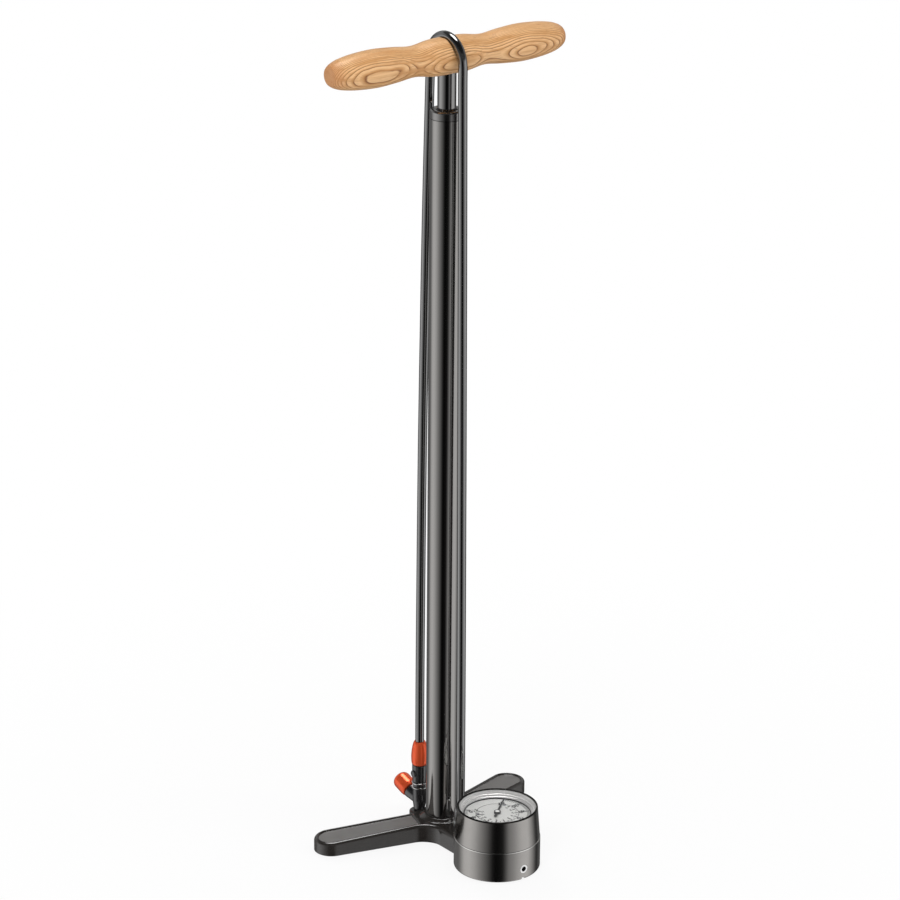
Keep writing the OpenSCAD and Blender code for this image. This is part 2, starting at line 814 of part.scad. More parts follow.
module movement_pillars() {
  color("#b8963f") at_gauge() for (p = pillar_spots) translate(p) {
    post(pillar_r, lower_plate_z + plate_t, upper_plate_z);
    post(pillar_r, upper_plate_z + plate_t, dial_z);
  }
}

// Outline of a gear: tooth k is centred at angle first + k * 360 / teeth
function gear_outline(teeth, count, first) =
  let (
    r = module_size * teeth / 2,
    half_root = 0.34 * 180 / teeth * 2,
    half_tip = 0.16 * 180 / teeth * 2,
    root_r = r - 1.1 * module_size,
    tip_r = r + 0.7 * module_size
  )
  [
    for (k = [0 : count - 1]) let (a = first + k * 360 / teeth)
      each [
        root_r * [cos(a - half_root), sin(a - half_root)],
        tip_r * [cos(a - half_tip), sin(a - half_tip)],
        tip_r * [cos(a + half_tip), sin(a + half_tip)],
        root_r * [cos(a + half_root), sin(a + half_root)]
      ]
  ];

module sector_gear() {
  // The tooth that meets the pinion at rest points along +Y from the sector's axis, third from last
  first = 90 - (sector_count - 3) * sector_pitch;
  tail_w = 3;
  tail_r = 2;
  color("#d0b25a") at_gauge() translate(sector_axis) {
    difference() {
      translate([0, 0, gear_z - gear_t / 2]) linear_extrude(gear_t) {
        polygon(concat([[0, 0]], gear_outline(sector_teeth, sector_count, first)));
        circle(r = sector_boss_r);
        translate([-tail_w / 2, -sector_tail]) square([tail_w, sector_tail]);
        translate([0, -sector_tail]) circle(r = tail_r, $fn = 32);
      }
      translate([0, -sector_tail, 0]) post(link_pin_r, gear_z - gear_t, gear_z + gear_t);
    }
    post(arbor_r, lower_plate_z, upper_plate_z + plate_t);
  }
}

// Short link hung on the sector's tail, towards the free end of the spring tube
module sector_link() {
  link_z = gear_z + gear_t / 2;
  link_t = 1;
  link_w = 2;
  link_len = 6;
  color("#b0b0b0") at_gauge() translate(sector_axis - [0, sector_tail]) {
    post(link_pin_r - running, gear_z - gear_t / 2, link_z + link_t);
    translate([-link_w / 2, -link_w / 2, link_z]) cube([link_len, link_w, link_t]);
  }
}

module pinion_arbor() {
  // A gap between two pinion teeth faces the sector at rest
  first = 270 + 180 / pinion_teeth;
  color("#9a9a9a") at_gauge() {
    translate([0, 0, gear_z - gear_t]) linear_extrude(2 * gear_t)
      polygon(gear_outline(pinion_teeth, pinion_teeth, first));
    post(arbor_r, lower_plate_z, arbor_top);
  }
}

module gauge_dial() {
  color("#e9e6df") at_gauge() difference() {
    post(case_r - 2 * slip, dial_z, dial_top);
    post(dial_hole_r, dial_z - cut, dial_top + cut);
    for (p = dial_screw_spots) translate(p) post(dial_screw_r + slip, dial_z - cut, dial_top + cut);
  }
}

module dial_screws() {
  head_h = 0.6;
  color("#b9b9b9") at_gauge() for (p = dial_screw_spots) translate(p) {
    post(dial_screw_r, dial_z, dial_top + eps);
    post(2 * dial_screw_r, dial_top, dial_top + head_h);
  }
}

// Small pin on the dial that the pointer rests against
module pointer_stop() {
  stop_angle = pointer_rest + 6;
  stop_reach = pointer_len * 0.7;
  stop_r = 0.6;
  stop_h = 2;
  color("#303030") at_gauge() rotate(stop_angle) translate([stop_reach, 0, 0])
    post(stop_r, dial_top, dial_top + stop_h);
}

module gauge_pointer() {
  low = dial_top + apart;
  boss_r = 3;
  boss_h = 1.8;
  blade_t = 0.7;
  tail = 9;
  half_w = [1.3, 0.9, 0.25];
  color("#26262a") at_gauge() rotate(pointer_rest) difference() {
    union() {
      post(boss_r, low, low + boss_h);
      translate([0, 0, low + 2 * apart]) linear_extrude(blade_t) polygon([
        [-tail, -half_w[0]], [-tail, half_w[0]], [boss_r, half_w[1]], [pointer_len, half_w[2]],
        [pointer_len, -half_w[2]], [boss_r, -half_w[1]]
      ]);
    }
    post(arbor_r + eps, low - cut, arbor_top);
  }
}

// Bright stepped ring round the dial; it seats the lens
module gauge_bezel() {
  show_r = dial_show_d / 2;
  top_z = gauge_h - rim_lap;
  ring_top = lens_top + lens_ring_h;
  flat = 0.6;
  color("#d4d5d7") at_gauge() rotate_extrude() polygon([
    [show_r, dial_top], [case_r, dial_top], [case_r, top_z], [case_r - flat, top_z],
    [lens_r + flat, ring_top], [lens_r + slip, ring_top],
    [lens_r + slip, lens_z], [show_r, lens_z]
  ]);
}

module gauge_lens() {
  color("#dfe8ea", 0.4) at_gauge() post(lens_r, lens_z, lens_top);
}

module lens_ring() {
  color("#c8c9cb") at_gauge() hoop(lens_r + slip, lens_r - lens_ring_w, lens_top, lens_top + lens_ring_h);
}

// Hose

module hose_fitting() {
  bevel = 0.8;
  color("#9b9ca0") place() translate([0, -fitting_reach, 0]) difference() {
    union() {
      translate([0, 0, arm_h]) cylinder(r = fitting_hex_r, h = fitting_hex_h, $fn = 6);
      rotate_extrude() polygon([
        [0, ferrule_z - eps], [ferrule_r - bevel, ferrule_z - eps], [ferrule_r, ferrule_z + bevel],
        [ferrule_r, fitting_top - bevel], [ferrule_r - bevel, fitting_top], [0, fitting_top]
      ]);
    }
    post(air_r, arm_h - cut, fitting_top + cut);
  }
}

module hose() {
  color("#151515") place() swept_tube(hose_line, hose_outs, hose_d / 2, hose_sides);
}

// Chuck, docked behind the barrel

module chuck_hose_nut() {
  r = hose_nut_d / 2;
  side = smooth([
    [r - 1, chuck_h], [r - 0.3, chuck_h + 1.6], [r, chuck_h + hose_nut_h * 0.36],
    [r - 0.6, chuck_h + hose_nut_h * 0.66], [r - 1.7, chuck_h + hose_nut_h * 0.9],
    [collar_neck_r, nut_top]
  ], 3);
  color("#d8401c") at_dock() difference() {
    rotate_extrude() polygon(concat([[0, chuck_h]], side, [[0, nut_top]]));
    post(hose_d / 2 + slip, hose_end_z, nut_top + cut);
    post(air_r, chuck_h - cut, hose_end_z + cut);
  }
}

module chuck_body() {
  r = chuck_d / 2;
  waist_r = r - ring_depth;
  bevel = 0.8;
  shoulder_z = ring_z[1] + ring_h;
  color("#1c1c1e") difference() {
    union() {
      at_dock() rotate_extrude() polygon([
        [0, dock_boss_h], [nozzle_tip_r - bevel, dock_boss_h], [nozzle_tip_r, dock_boss_h + bevel],
        [nozzle_r, branch_z], [nozzle_r, ring_z[0] - bevel], [waist_r, ring_z[0]], [waist_r, shoulder_z],
        [r, shoulder_z + bevel], [r, chuck_h - bevel], [r - bevel, chuck_h], [0, chuck_h]
      ]);
      at_side_head() post(neck_r, 0, neck_len);
      at_side_head() rotate_extrude() polygon([
        [0, 0], [neck_r, 0], [neck_collar_r, side_reach - 1 - bevel],
        [neck_collar_r - bevel, side_reach - 1], [0, side_reach - 1]
      ]);
    }
    at_bleed() post(bleed_r + running, bleed_floor, bleed_out);
    at_bleed() post(bleed_stem_r + running, 0, bleed_floor + cut);
    at_dock() post(post_r + slip, dock_boss_h - cut, dock_boss_h + post_h + slip);
    at_side_head() post(air_r, post_r, neck_len + cut);
    at_dock() post(air_r, branch_z, chuck_h + cut);
  }
}

module chuck_rings() {
  in_r = chuck_d / 2 - ring_depth;
  mid_r = chuck_d / 2 - 0.2;
  color("#c9cacc") at_dock() for (z = ring_z) rotate_extrude() polygon(concat(
    [[in_r, z + ring_h], [in_r, z]],
    arc([mid_r, z + ring_h / 2], ring_h / 2, -90, 90, 8)
  ));
}

// Button that lets air out; its axis points outwards, towards -X
module at_bleed() {
  at_dock() translate([0, 0, bleed_z]) rotate([0, -90, 0]) children();
}

module bleed_button() {
  stop_r = bleed_stem_r + 0.25;
  stop_in = 0.9;
  stop_out = 1.5;
  color("#2a2a2c") at_bleed() rotate_extrude() polygon([
    [0, stop_in], [stop_r, stop_in], [stop_r, stop_out], [bleed_stem_r, stop_out],
    [bleed_stem_r, bleed_in], [bleed_r, bleed_in], [bleed_r, bleed_out - 1],
    [bleed_r - 0.4, bleed_out - 0.5], [bleed_r * 0.6, bleed_out - 0.15], [0, bleed_out]
  ]);
}

module side_head_gasket() {
  color("#1a1a1a") at_side_head()
    hoop(neck_r - slip, valve_socket_d / 2 - gasket_grip, neck_len, gasket_end);
}

// Pin in the middle of the side head that opens the tyre's valve
module side_head_pin() {
  pin_r = 1;
  pin_h = 1.5;
  pin_bore_r = 0.5;
  root_h = 4;
  color("#b5b5b5") at_side_head() difference() {
    union() {
      post(air_r - slip, neck_len - root_h, neck_len);
      post(pin_r, neck_len - eps, neck_len + pin_h);
    }
    post(pin_bore_r, neck_len - root_h - cut, neck_len + pin_h + cut);
  }
}

module side_head_cap() {
  r = side_cap_d / 2;
  edge = 2;
  mouth = 1;
  inner_r = neck_r + running;
  socket_r = valve_socket_d / 2;
  seat = gasket_end + apart;
  color("#d8401c") at_side_head() rotate_extrude() polygon(concat(
    [[inner_r, side_reach], [r - 1, side_reach], [r - 0.3, side_reach + 1.2], [r, side_reach + 4]],
    arc([r - edge, cap_end - edge], edge, 0, 90, 8),
    [[socket_r + mouth, cap_end], [socket_r, cap_end - mouth], [socket_r, seat], [inner_r, seat]]
  ));
}

base_casting();
rubber_feet();
barrel_gasket();
barrel();
barrel_cap();
rod_bushing();
rod_wiper();
check_valve_body();
check_valve_seal();
check_valve_spring();
check_valve_poppet();
piston();
piston_seal();
piston_bolt();
piston_rod();
rod_plug();
top_bumper();
handle_grip();
handle_bolt();
gauge_foot();
gauge_shroud();
gauge_set_screw();
gauge_case();
gauge_socket();
bourdon_tube();
movement_plates();
movement_pillars();
sector_gear();
sector_link();
pinion_arbor();
gauge_dial();
dial_screws();
pointer_stop();
gauge_pointer();
gauge_bezel();
gauge_lens();
lens_ring();
hose_fitting();
hose();
chuck_hose_nut();
chuck_body();
chuck_rings();
bleed_button();
side_head_gasket();
side_head_pin();
side_head_cap();
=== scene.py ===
"""Looks of the floor bike pump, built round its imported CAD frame. Metres, +Z up, gauge towards -Y."""

import math

import bpy
import numpy as np
from mathutils import Matrix, Vector
from mathutils.geometry import delaunay_2d_cdt


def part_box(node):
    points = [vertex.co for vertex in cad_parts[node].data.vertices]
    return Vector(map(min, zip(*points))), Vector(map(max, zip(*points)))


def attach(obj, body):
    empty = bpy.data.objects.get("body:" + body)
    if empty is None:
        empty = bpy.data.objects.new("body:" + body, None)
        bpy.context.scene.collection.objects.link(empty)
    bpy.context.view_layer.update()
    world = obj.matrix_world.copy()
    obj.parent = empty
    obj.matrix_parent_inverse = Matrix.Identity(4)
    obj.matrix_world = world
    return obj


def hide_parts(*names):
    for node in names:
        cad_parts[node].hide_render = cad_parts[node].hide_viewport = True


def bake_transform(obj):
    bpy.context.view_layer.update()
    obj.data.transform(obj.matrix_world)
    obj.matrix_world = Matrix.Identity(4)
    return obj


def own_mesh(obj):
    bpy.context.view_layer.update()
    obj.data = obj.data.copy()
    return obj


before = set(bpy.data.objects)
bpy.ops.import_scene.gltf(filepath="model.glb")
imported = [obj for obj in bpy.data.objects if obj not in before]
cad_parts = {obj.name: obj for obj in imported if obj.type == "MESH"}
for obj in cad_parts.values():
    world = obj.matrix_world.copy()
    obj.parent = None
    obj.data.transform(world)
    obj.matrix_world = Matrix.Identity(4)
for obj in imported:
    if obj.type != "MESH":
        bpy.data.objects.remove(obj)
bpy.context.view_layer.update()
MM = 0.001
SCENE = bpy.context.scene

# Places and sizes shared with the part's source
AXIS_Y = 36.0467 * MM
HANDLE_Z = 713.5 * MM
GAUGE_Y = AXIS_Y - 80 * MM
DIAL_TOP = 49.3 * MM
SCREW_Z = 10.3 * MM
LIP_R = 33.6 * MM
RIM_Z = 56.2 * MM
JOINT_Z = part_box("gauge_foot")[1].z
HOSE_R = 4 * MM

# Camera that took the photo
CAMERA_PLACE = Vector((-1.8296, -2.3777 + AXIS_Y, 1.4701))
CAMERA_AZIMUTH = math.radians(37.58)
CAMERA_PITCH = math.radians(20.23)
CAMERA_ROLL = math.radians(0.42)
CAMERA_LENS, CAMERA_SENSOR = 148.34, 36
CAMERA_SHIFT_X = 0.00618
CAMERA_CLIP = (0.1, 100)


def add_camera():
    az, pitch, roll = CAMERA_AZIMUTH, CAMERA_PITCH, CAMERA_ROLL
    ahead = Vector((math.sin(az) * math.cos(pitch), math.cos(az) * math.cos(pitch), -math.sin(pitch)))
    level = Vector((math.cos(az), -math.sin(az), 0))
    above = level.cross(ahead)
    right = math.cos(roll) * level + math.sin(roll) * above
    up = math.cos(roll) * above - math.sin(roll) * level
    data = bpy.data.cameras.new("camera")
    data.sensor_width = CAMERA_SENSOR
    data.lens = CAMERA_LENS
    data.shift_x = CAMERA_SHIFT_X
    data.clip_start, data.clip_end = CAMERA_CLIP
    camera = bpy.data.objects.new("camera", data)
    turn = Matrix((right, up, -ahead)).transposed()
    camera.matrix_world = Matrix.Translation(CAMERA_PLACE) @ turn.to_4x4()
    SCENE.collection.objects.link(camera)
    SCENE.camera = camera


# Mesh helpers


def mesh_piece(name, points, faces, sharp=40):
    """A mesh object with smooth shading that breaks at edges sharper than the given angle."""
    mesh = bpy.data.meshes.new(name)
    mesh.from_pydata([tuple(p) for p in points], [], [tuple(f) for f in faces])
    mesh.validate()
    mesh.shade_smooth()
    mesh.set_sharp_from_angle(angle=math.radians(sharp))
    piece = bpy.data.objects.new(name, mesh)
    SCENE.collection.objects.link(piece)
    return piece


def smooth_line(points, steps):
    """A curve through all the points, with that many short steps between each two."""
    p = np.asarray(points, float)
    p = np.vstack([2 * p[0] - p[1], p, 2 * p[-1] - p[-2]])
    line = []
    for a, b, c, d in zip(p[:-3], p[1:-2], p[2:-1], p[3:]):
        for t in np.arange(steps) / steps:
            line.append(0.5 * (2 * b + (c - a) * t + (2 * a - 5 * b + 4 * c - d) * t**2
                               + (3 * b - a - 3 * c + d) * t**3))
    return np.array(line + [p[-2]])


def ring_faces(rings, sides):
    """Faces between rings of points that follow each other."""
    faces = []
    for i in range(rings - 1):
        for k in range(sides):
            a, b = i * sides + k, i * sides + (k + 1) % sides
            faces.append((a, b, b + sides, a + sides))
    return faces


def circle_angles(sides):
    """Angles of evenly spread points round a circle."""
    return np.arange(sides) * 2 * math.pi / sides


def capped_faces(rings, sides):
    """Faces of a closed solid made of rings of points, with flat ends."""
    last = (rings - 1) * sides
    ends = [tuple(range(sides))[::-1], tuple(range(last, last + sides))]
    return ring_faces(rings, sides) + ends


def turned(profile, sides):
    """Points and faces of a ring turned round Z; the profile is a closed loop of (radius, height)."""
    points = [(r * math.cos(a), r * math.sin(a), z) for r, z in profile for a in circle_angles(sides)]
    faces = ring_faces(len(profile), sides)
    last = (len(profile) - 1) * sides
    for k in range(sides):
        n = (k + 1) % sides
        faces.append((last + k, last + n, n, k))
    return np.array(points), faces


def cut_with(piece, cutter):
    """Takes the cutter's solid out of the piece and removes the cutter."""
    step = piece.modifiers.new("cut", "BOOLEAN")
    step.operation = "DIFFERENCE"
    step.solver = "EXACT"
    step.object = cutter
    bpy.context.view_layer.update()
    shown = piece.evaluated_get(bpy.context.evaluated_depsgraph_get())
    mesh = bpy.data.meshes.new_from_object(shown)
    piece.modifiers.clear()
    piece.data = mesh
    bpy.data.objects.remove(cutter)


def post(name, radius, low, high):
    """A round cutter on the barrel's axis."""
    sides = 64
    points = [(radius * math.cos(a), AXIS_Y + radius * math.sin(a), z)
              for z in (low, high) for a in circle_angles(sides)]
    return mesh_piece(name, points, capped_faces(2, sides))


def join_parts(parts):
    """One list of points and one of faces from several such pairs."""
    points, faces = [], []
    for p, f in parts:
        faces += [tuple(k + len(points) for k in face) for face in f]
        points += list(p)
    return points, faces


# Shader helpers


class Nodes:
    """A node tree with short calls to add and link its nodes."""

    def __init__(self, tree):
        self.tree = tree

    def add(self, kind, inputs=None, **settings):
        node = self.tree.nodes.new(kind)
        for key, value in settings.items():
            setattr(node, key, value)
        for key, value in (inputs or {}).items():
            self.feed(node.inputs[key], value)
        return node

    def feed(self, socket, value):
        if isinstance(value, bpy.types.NodeSocket):
            self.tree.links.new(value, socket)
        else:
            socket.default_value = value

    def math(self, operation, a, b=0.0):
        return self.add("ShaderNodeMath", {0: a, 1: b}, operation=operation).outputs[0]

    def split(self, where, axis):
        """One coordinate of a place."""
        return self.add("ShaderNodeSeparateXYZ", {0: where}).outputs[axis]

    def place(self, scale=(1, 1, 1), shift=(0, 0, 0)):
        """Object coordinates, moved and then stretched."""
        where = self.add("ShaderNodeTexCoord").outputs["Object"]
        moved = self.add("ShaderNodeVectorMath", {0: where, 1: shift}, operation="ADD").outputs[0]
        return self.add("ShaderNodeVectorMath", {0: moved, 1: scale}, operation="MULTIPLY").outputs[0]

    def along(self, a, b):
        """How far one direction goes along another."""
        return self.add("ShaderNodeVectorMath", {0: a, 1: b}, operation="DOT_PRODUCT").outputs["Value"]

    def length(self, where, share=(1, 1, 1)):
        """Distance from the origin, with each axis counted in full or left out."""
        part = self.add("ShaderNodeVectorMath", {0: where, 1: share}, operation="MULTIPLY").outputs[0]
        return self.add("ShaderNodeVectorMath", {0: part}, operation="LENGTH").outputs["Value"]

    def noise(self, where, scale, detail=3.0, rough=0.5):
        inputs = {"Vector": where, "Scale": scale, "Detail": detail, "Roughness": rough}
        return self.add("ShaderNodeTexNoise", inputs).outputs["Fac"]

    def spread(self, value, low, high, start=0.0, end=1.0, smooth=False):
        inputs = {"Value": value, "From Min": start, "From Max": end, "To Min": low, "To Max": high}
        kind = "SMOOTHSTEP" if smooth else "LINEAR"
        return self.add("ShaderNodeMapRange", inputs, interpolation_type=kind).outputs["Result"]

    def ramp(self, value, stops):
        node = self.add("ShaderNodeValToRGB", {"Fac": value})
        ramp = node.color_ramp
        while len(ramp.elements) < len(stops):
            ramp.elements.new(0.5)
        for element, (at, colour) in zip(ramp.elements, stops):
            element.position = at
            element.color = (*colour, 1)
        return node.outputs["Color"]

    def blend(self, share, a, b, kind="MIX"):
        node = self.add("ShaderNodeMix", data_type="RGBA", blend_type=kind)
        for key, value in ((0, share), (6, a), (7, b)):
            self.feed(node.inputs[key], value if not isinstance(value, tuple) else (*value, 1))
        return node.outputs[2]

    def bump(self, height, depth):
        inputs = {"Height": height, "Distance": depth, "Strength": 1.0}
        return self.add("ShaderNodeBump", inputs).outputs["Normal"]


def new_material(name):
    """A fresh material, its Nodes and its principled shader."""
    material = bpy.data.materials.new("look_" + name)
    material.use_nodes = True
    tree = material.node_tree
    return material, Nodes(tree), tree.nodes["Principled BSDF"]


# Plain finishes: how much coarser the tone is than the grain, and how far the roughness varies
TONE_COARSER = 12
ROUGH_VARIES = 0.25


def finish_look(name, colour, rough, metal=0.0, grain=900.0, depth=0.02, tone=0.12, stretch=(1, 1, 1),
                ior=1.5):
    """A plain finish with fine grain: tone, roughness and surface all vary a little."""
    material, n, shader = new_material(name)
    where = n.place(stretch)
    fine = n.noise(where, grain, 4.0)
    broad = n.noise(where, grain / TONE_COARSER, 3.0)
    dull = tuple(c * (1 - tone) for c in colour)
    bright = tuple(min(1.0, c * (1 + tone)) for c in colour)
    smooth, coarse = rough * (1 - ROUGH_VARIES), rough * (1 + ROUGH_VARIES)
    n.feed(shader.inputs["Base Color"], n.blend(broad, dull, bright))
    n.feed(shader.inputs["Roughness"], n.spread(fine, smooth, coarse))
    n.feed(shader.inputs["Normal"], n.bump(fine, depth * MM))
    shader.inputs["Metallic"].default_value = metal
    shader.inputs["IOR"].default_value = ior
    return material


# Wooden handle: pale sapwood with darker growth lines, cut so that rings close on the front of each grip
WOOD_PALE = (0.79, 0.485, 0.24)
WOOD_MID = (0.57, 0.285, 0.105)
WOOD_LINE = (0.19, 0.060, 0.015)
WOOD_END = (0.50, 0.20, 0.075)
WOOD_STOPS = [(0.0, WOOD_PALE), (0.4, WOOD_PALE), (0.74, WOOD_MID), (0.9, WOOD_LINE), (1.0, WOOD_PALE)]
WOOD_HEART = (70 * MM, 22 * MM)
WOOD_RING, WOOD_DRIFT = 1.25 * MM, 3 * MM
WANDER_SCALE, STREAK_SCALE, FIBRE_SCALE = (16, 30, 30), (14, 260, 260), (60, 1600, 1600)
STREAK_MOST, STREAK_FADE = 0.9, (0.44, 0.66)
PORE_MOST, PORE_FADE, PORE_DEPTH = 0.6, (0.56, 0.74), 0.03 * MM
END_MOST, END_FADE = 0.55, (108 * MM, 121 * MM)


def wood_look():
    """Growth rings round the tree's heart, then streaks, darker ends and fine pores."""
    material, n, shader = new_material("wood")
    where = n.place(shift=(0, -AXIS_Y - WOOD_HEART[0], -HANDLE_Z - WOOD_HEART[1]))
    wander = n.noise(n.place(WANDER_SCALE), 1.0, 2.5)
    from_heart = n.math("ADD", n.length(where, (0, 1, 1)), n.spread(wander, -WOOD_DRIFT, WOOD_DRIFT))
    share = n.math("FRACT", n.math("DIVIDE", from_heart, WOOD_RING))
    ringed = n.ramp(share, WOOD_STOPS)
    fibre = n.noise(n.place(FIBRE_SCALE), 1.0, 4.0, 0.6)
    streak = n.noise(n.place(STREAK_SCALE), 1.0, 4.0, 0.6)
    shaded = n.blend(n.spread(streak, 0.0, STREAK_MOST, *STREAK_FADE), ringed, WOOD_MID)
    out = n.math("ABSOLUTE", n.split(n.place(), "X"))
    shaded = n.blend(n.spread(out, 0.0, END_MOST, *END_FADE, True), shaded, WOOD_END)
    pores = n.spread(fibre, 0.0, PORE_MOST, *PORE_FADE)
    n.feed(shader.inputs["Base Color"], n.blend(pores, shaded, WOOD_LINE))
    n.feed(shader.inputs["Roughness"], n.spread(fibre, 0.30, 0.46))
    n.feed(shader.inputs["Normal"], n.bump(fibre, PORE_DEPTH))
    shader.inputs["Specular IOR Level"].default_value = 0.3
    shader.inputs["Coat Weight"].default_value = 0.1
    shader.inputs["Coat Roughness"].default_value = 0.25
    return material


# Gauge: shells, set screw, pointer and lens; a change of colour fades over a short distance
FADE = 0.1 * MM
SCREW_KEY_R = 2.4 * MM
# The socket's black is a dark finish together with painted shade in the deep recess
SCREW_BLACK_AND_SOCKET_SHADE, SCREW_BRIGHT = (0.01, 0.01, 0.01), (0.95, 0.95, 0.95)
SHELL_DULL, SHELL_BRIGHT = (0.385, 0.37, 0.355), (0.415, 0.40, 0.385)
# Shell tones: the inner lip's light tone is a painted reflection, the joint's is a painted highlight, the
# rim is black
SHELL_LIP_REFLECTION, SHELL_JOINT_HIGHLIGHT, SHELL_RIM = (0.74, 0.74, 0.73), (0.8, 0.79, 0.77), (0.03, 0.028, 0.027)
LIP_METAL, LIP_ROUGHER = 0.35, 0.15
# Width of the painted highlight under the joint, and radius of the painted highlight on the pointer's boss
JOINT_HIGHLIGHT_H, BOSS_HIGHLIGHT_R = 0.8 * MM, 2.0 * MM
WORN_GRAIN = 1500.0
# The pointer's black paint, and the near-white painted highlight on its boss
POINTER_PAINT, POINTER_BOSS_HIGHLIGHT = (0.012, 0.012, 0.013), (0.9, 0.9, 0.88)
LENS_SHEEN = 0.12


def screw_look():
    """Bright head with a black key socket, told apart by the distance from the screw's axis; the socket's
    black is a dark finish with painted shade of its deep recess.
    """
    material, n, shader = new_material("screw")
    radius = n.length(n.place(shift=(0, 0, -SCREW_Z)), (1, 0, 1))
    head = n.spread(radius, 0.0, 1.0, SCREW_KEY_R - FADE, SCREW_KEY_R + FADE)
    worn = n.noise(n.place(), WORN_GRAIN)
    n.feed(shader.inputs["Base Color"], n.blend(head, SCREW_BLACK_AND_SOCKET_SHADE, SCREW_BRIGHT))
    n.feed(shader.inputs["Metallic"], head)
    n.feed(shader.inputs["Roughness"], n.spread(worn, 0.26, 0.38))
    return material


def shell_look():
    """Dark anodised shell with a black rim, a lighter, rougher inner lip whose light tone is a painted
    reflection, and a painted highlight along the joint.
    """
    material, n, shader = new_material("shell")
    where = n.place(shift=(0, -GAUGE_Y, 0))
    outside = n.spread(n.length(where, (1, 1, 0)), 0.0, 1.0, LIP_R - 2 * FADE, LIP_R)
    fine = n.noise(where, 1400.0, 4.0)
    broad = n.noise(where, 120.0, 3.0)
    height = n.split(where, "Z")
    # A light band just under the joint is a painted highlight along the joint's edge.
    highlight_low = JOINT_Z - JOINT_HIGHLIGHT_H
    line = n.math("MULTIPLY", n.spread(height, 0.0, 1.0, highlight_low - FADE, highlight_low),
                  n.spread(height, 1.0, 0.0, JOINT_Z, JOINT_Z + FADE))
    coated = n.blend(line, n.blend(broad, SHELL_DULL, SHELL_BRIGHT), SHELL_JOINT_HIGHLIGHT)
    coated = n.blend(n.spread(height, 0.0, 1.0, RIM_Z - 3 * FADE, RIM_Z), coated, SHELL_RIM)
    rough = n.math("ADD", n.spread(fine, 0.13, 0.20), n.spread(outside, LIP_ROUGHER, 0.0))
    # Inside the lip the light tone is a painted reflection of the white surroundings.
    n.feed(shader.inputs["Base Color"], n.blend(outside, SHELL_LIP_REFLECTION, coated))
    n.feed(shader.inputs["Metallic"], n.spread(outside, LIP_METAL, 1.0))
    n.feed(shader.inputs["Roughness"], rough)
    n.feed(shader.inputs["Normal"], n.bump(fine, 0.002 * MM))
    return material


def pointer_look():
    """Black paint, with a near-white spot on the boss round the pointer's axis: a painted highlight."""
    material, n, shader = new_material("pointer")
    radius = n.length(n.place(shift=(0, -GAUGE_Y, 0)), (1, 1, 0))
    # Near-white within the boss's radius: a painted highlight.
    boss = n.spread(radius, 1.0, 0.0, BOSS_HIGHLIGHT_R - FADE, BOSS_HIGHLIGHT_R)
    worn = n.noise(n.place(), WORN_GRAIN)
    n.feed(shader.inputs["Base Color"], n.blend(boss, POINTER_PAINT, POINTER_BOSS_HIGHLIGHT))
    n.feed(shader.inputs["Roughness"], n.spread(worn, 0.28, 0.42))
    return material


def lens_look():
    """Clear window: the view goes straight through, with a sheen that grows towards the edge."""
    material, n, shader = new_material("lens")
    n.tree.nodes.remove(shader)
    smear = n.noise(n.place(), 60.0)
    sheen = n.add("ShaderNodeBsdfGlossy", {"Roughness": n.spread(smear, 0.02, 0.06)})
    clear = n.add("ShaderNodeBsdfTransparent")
    edge = n.add("ShaderNodeFresnel", {"IOR": 1.45})
    share = n.math("MULTIPLY", edge.outputs[0], LENS_SHEEN)
    mixed = n.add("ShaderNodeMixShader", {0: share, 1: clear.outputs[0], 2: sheen.outputs[0]})
    n.feed(n.tree.nodes["Material Output"].inputs["Surface"], mixed.outputs[0])
    return material


def make_looks():
    """One look for each of the record's material slots."""
    long_grain = (1, 1, 0.04)
    return {
        "cast_black": cast_look(),
        "rubber_black": finish_look("rubber", (0.018, 0.018, 0.018), 0.6, grain=1500, depth=0.05),
        "barrel_black": finish_look("barrel", (0.36, 0.35, 0.34), 0.11, 1.0, 500, 0.003, 0.04, long_grain),
        "cap_black": finish_look("cap", (0.30, 0.295, 0.29), 0.2, 1.0, 900, 0.006, 0.06),
        "guide_white": finish_look("guide", (0.78, 0.77, 0.73), 0.45),
        "valve_brass": finish_look("brass", (0.72, 0.50, 0.20), 0.3, 1.0),
        "spring_steel": finish_look("spring", (0.55, 0.56, 0.58), 0.25, 1.0),
        "rod_dark": finish_look("rod", (0.30, 0.295, 0.29), 0.08, 1.0, 700, 0.002, 0.03, long_grain),
        "bolt_steel": finish_look("bolt", (0.92, 0.92, 0.92), 0.3, 1.0, depth=0.004),
        "handle_wood": wood_look(),
        "gauge_shell": shell_look(),
        "gauge_steel": finish_look("case", (0.30, 0.30, 0.31), 0.4, 1.0),
        "movement_brass": finish_look("movement", (0.70, 0.49, 0.21), 0.3, 1.0),
        "dial_pale": finish_look("dial", (0.68, 0.68, 0.66), 0.5, 0.0, 1200, 0.002, 0.03),
        "pointer_dark": pointer_look(),
        "bezel_silver": finish_look("bezel", (0.72, 0.71, 0.70), 0.3, 0.4, 1200, 0.002, 0.05),
        "lens_clear": lens_look(),
        "hose_black": finish_look("hose", (0.003, 0.003, 0.003), 0.1, 0.0, 900, 0.0005, 0.2, ior=3.2),
        "chuck_black": finish_look("chuck", (0.012, 0.012, 0.013), 0.2, 0.0, 1000, 0.003, ior=2.0),
        "chuck_red": finish_look("red", (0.88, 0.115, 0.036), 0.2, 0.45, 1200, 0.002, 0.08),
        "screw_bright": screw_look(),
        "ring_bright": finish_look("ring", (0.82, 0.82, 0.82), 0.16, 1.0, 1200, 0.003, 0.04),
    }


def set_look(piece, slot, looks):
    piece.data.materials.clear()
    piece.data.materials.append(looks[slot])


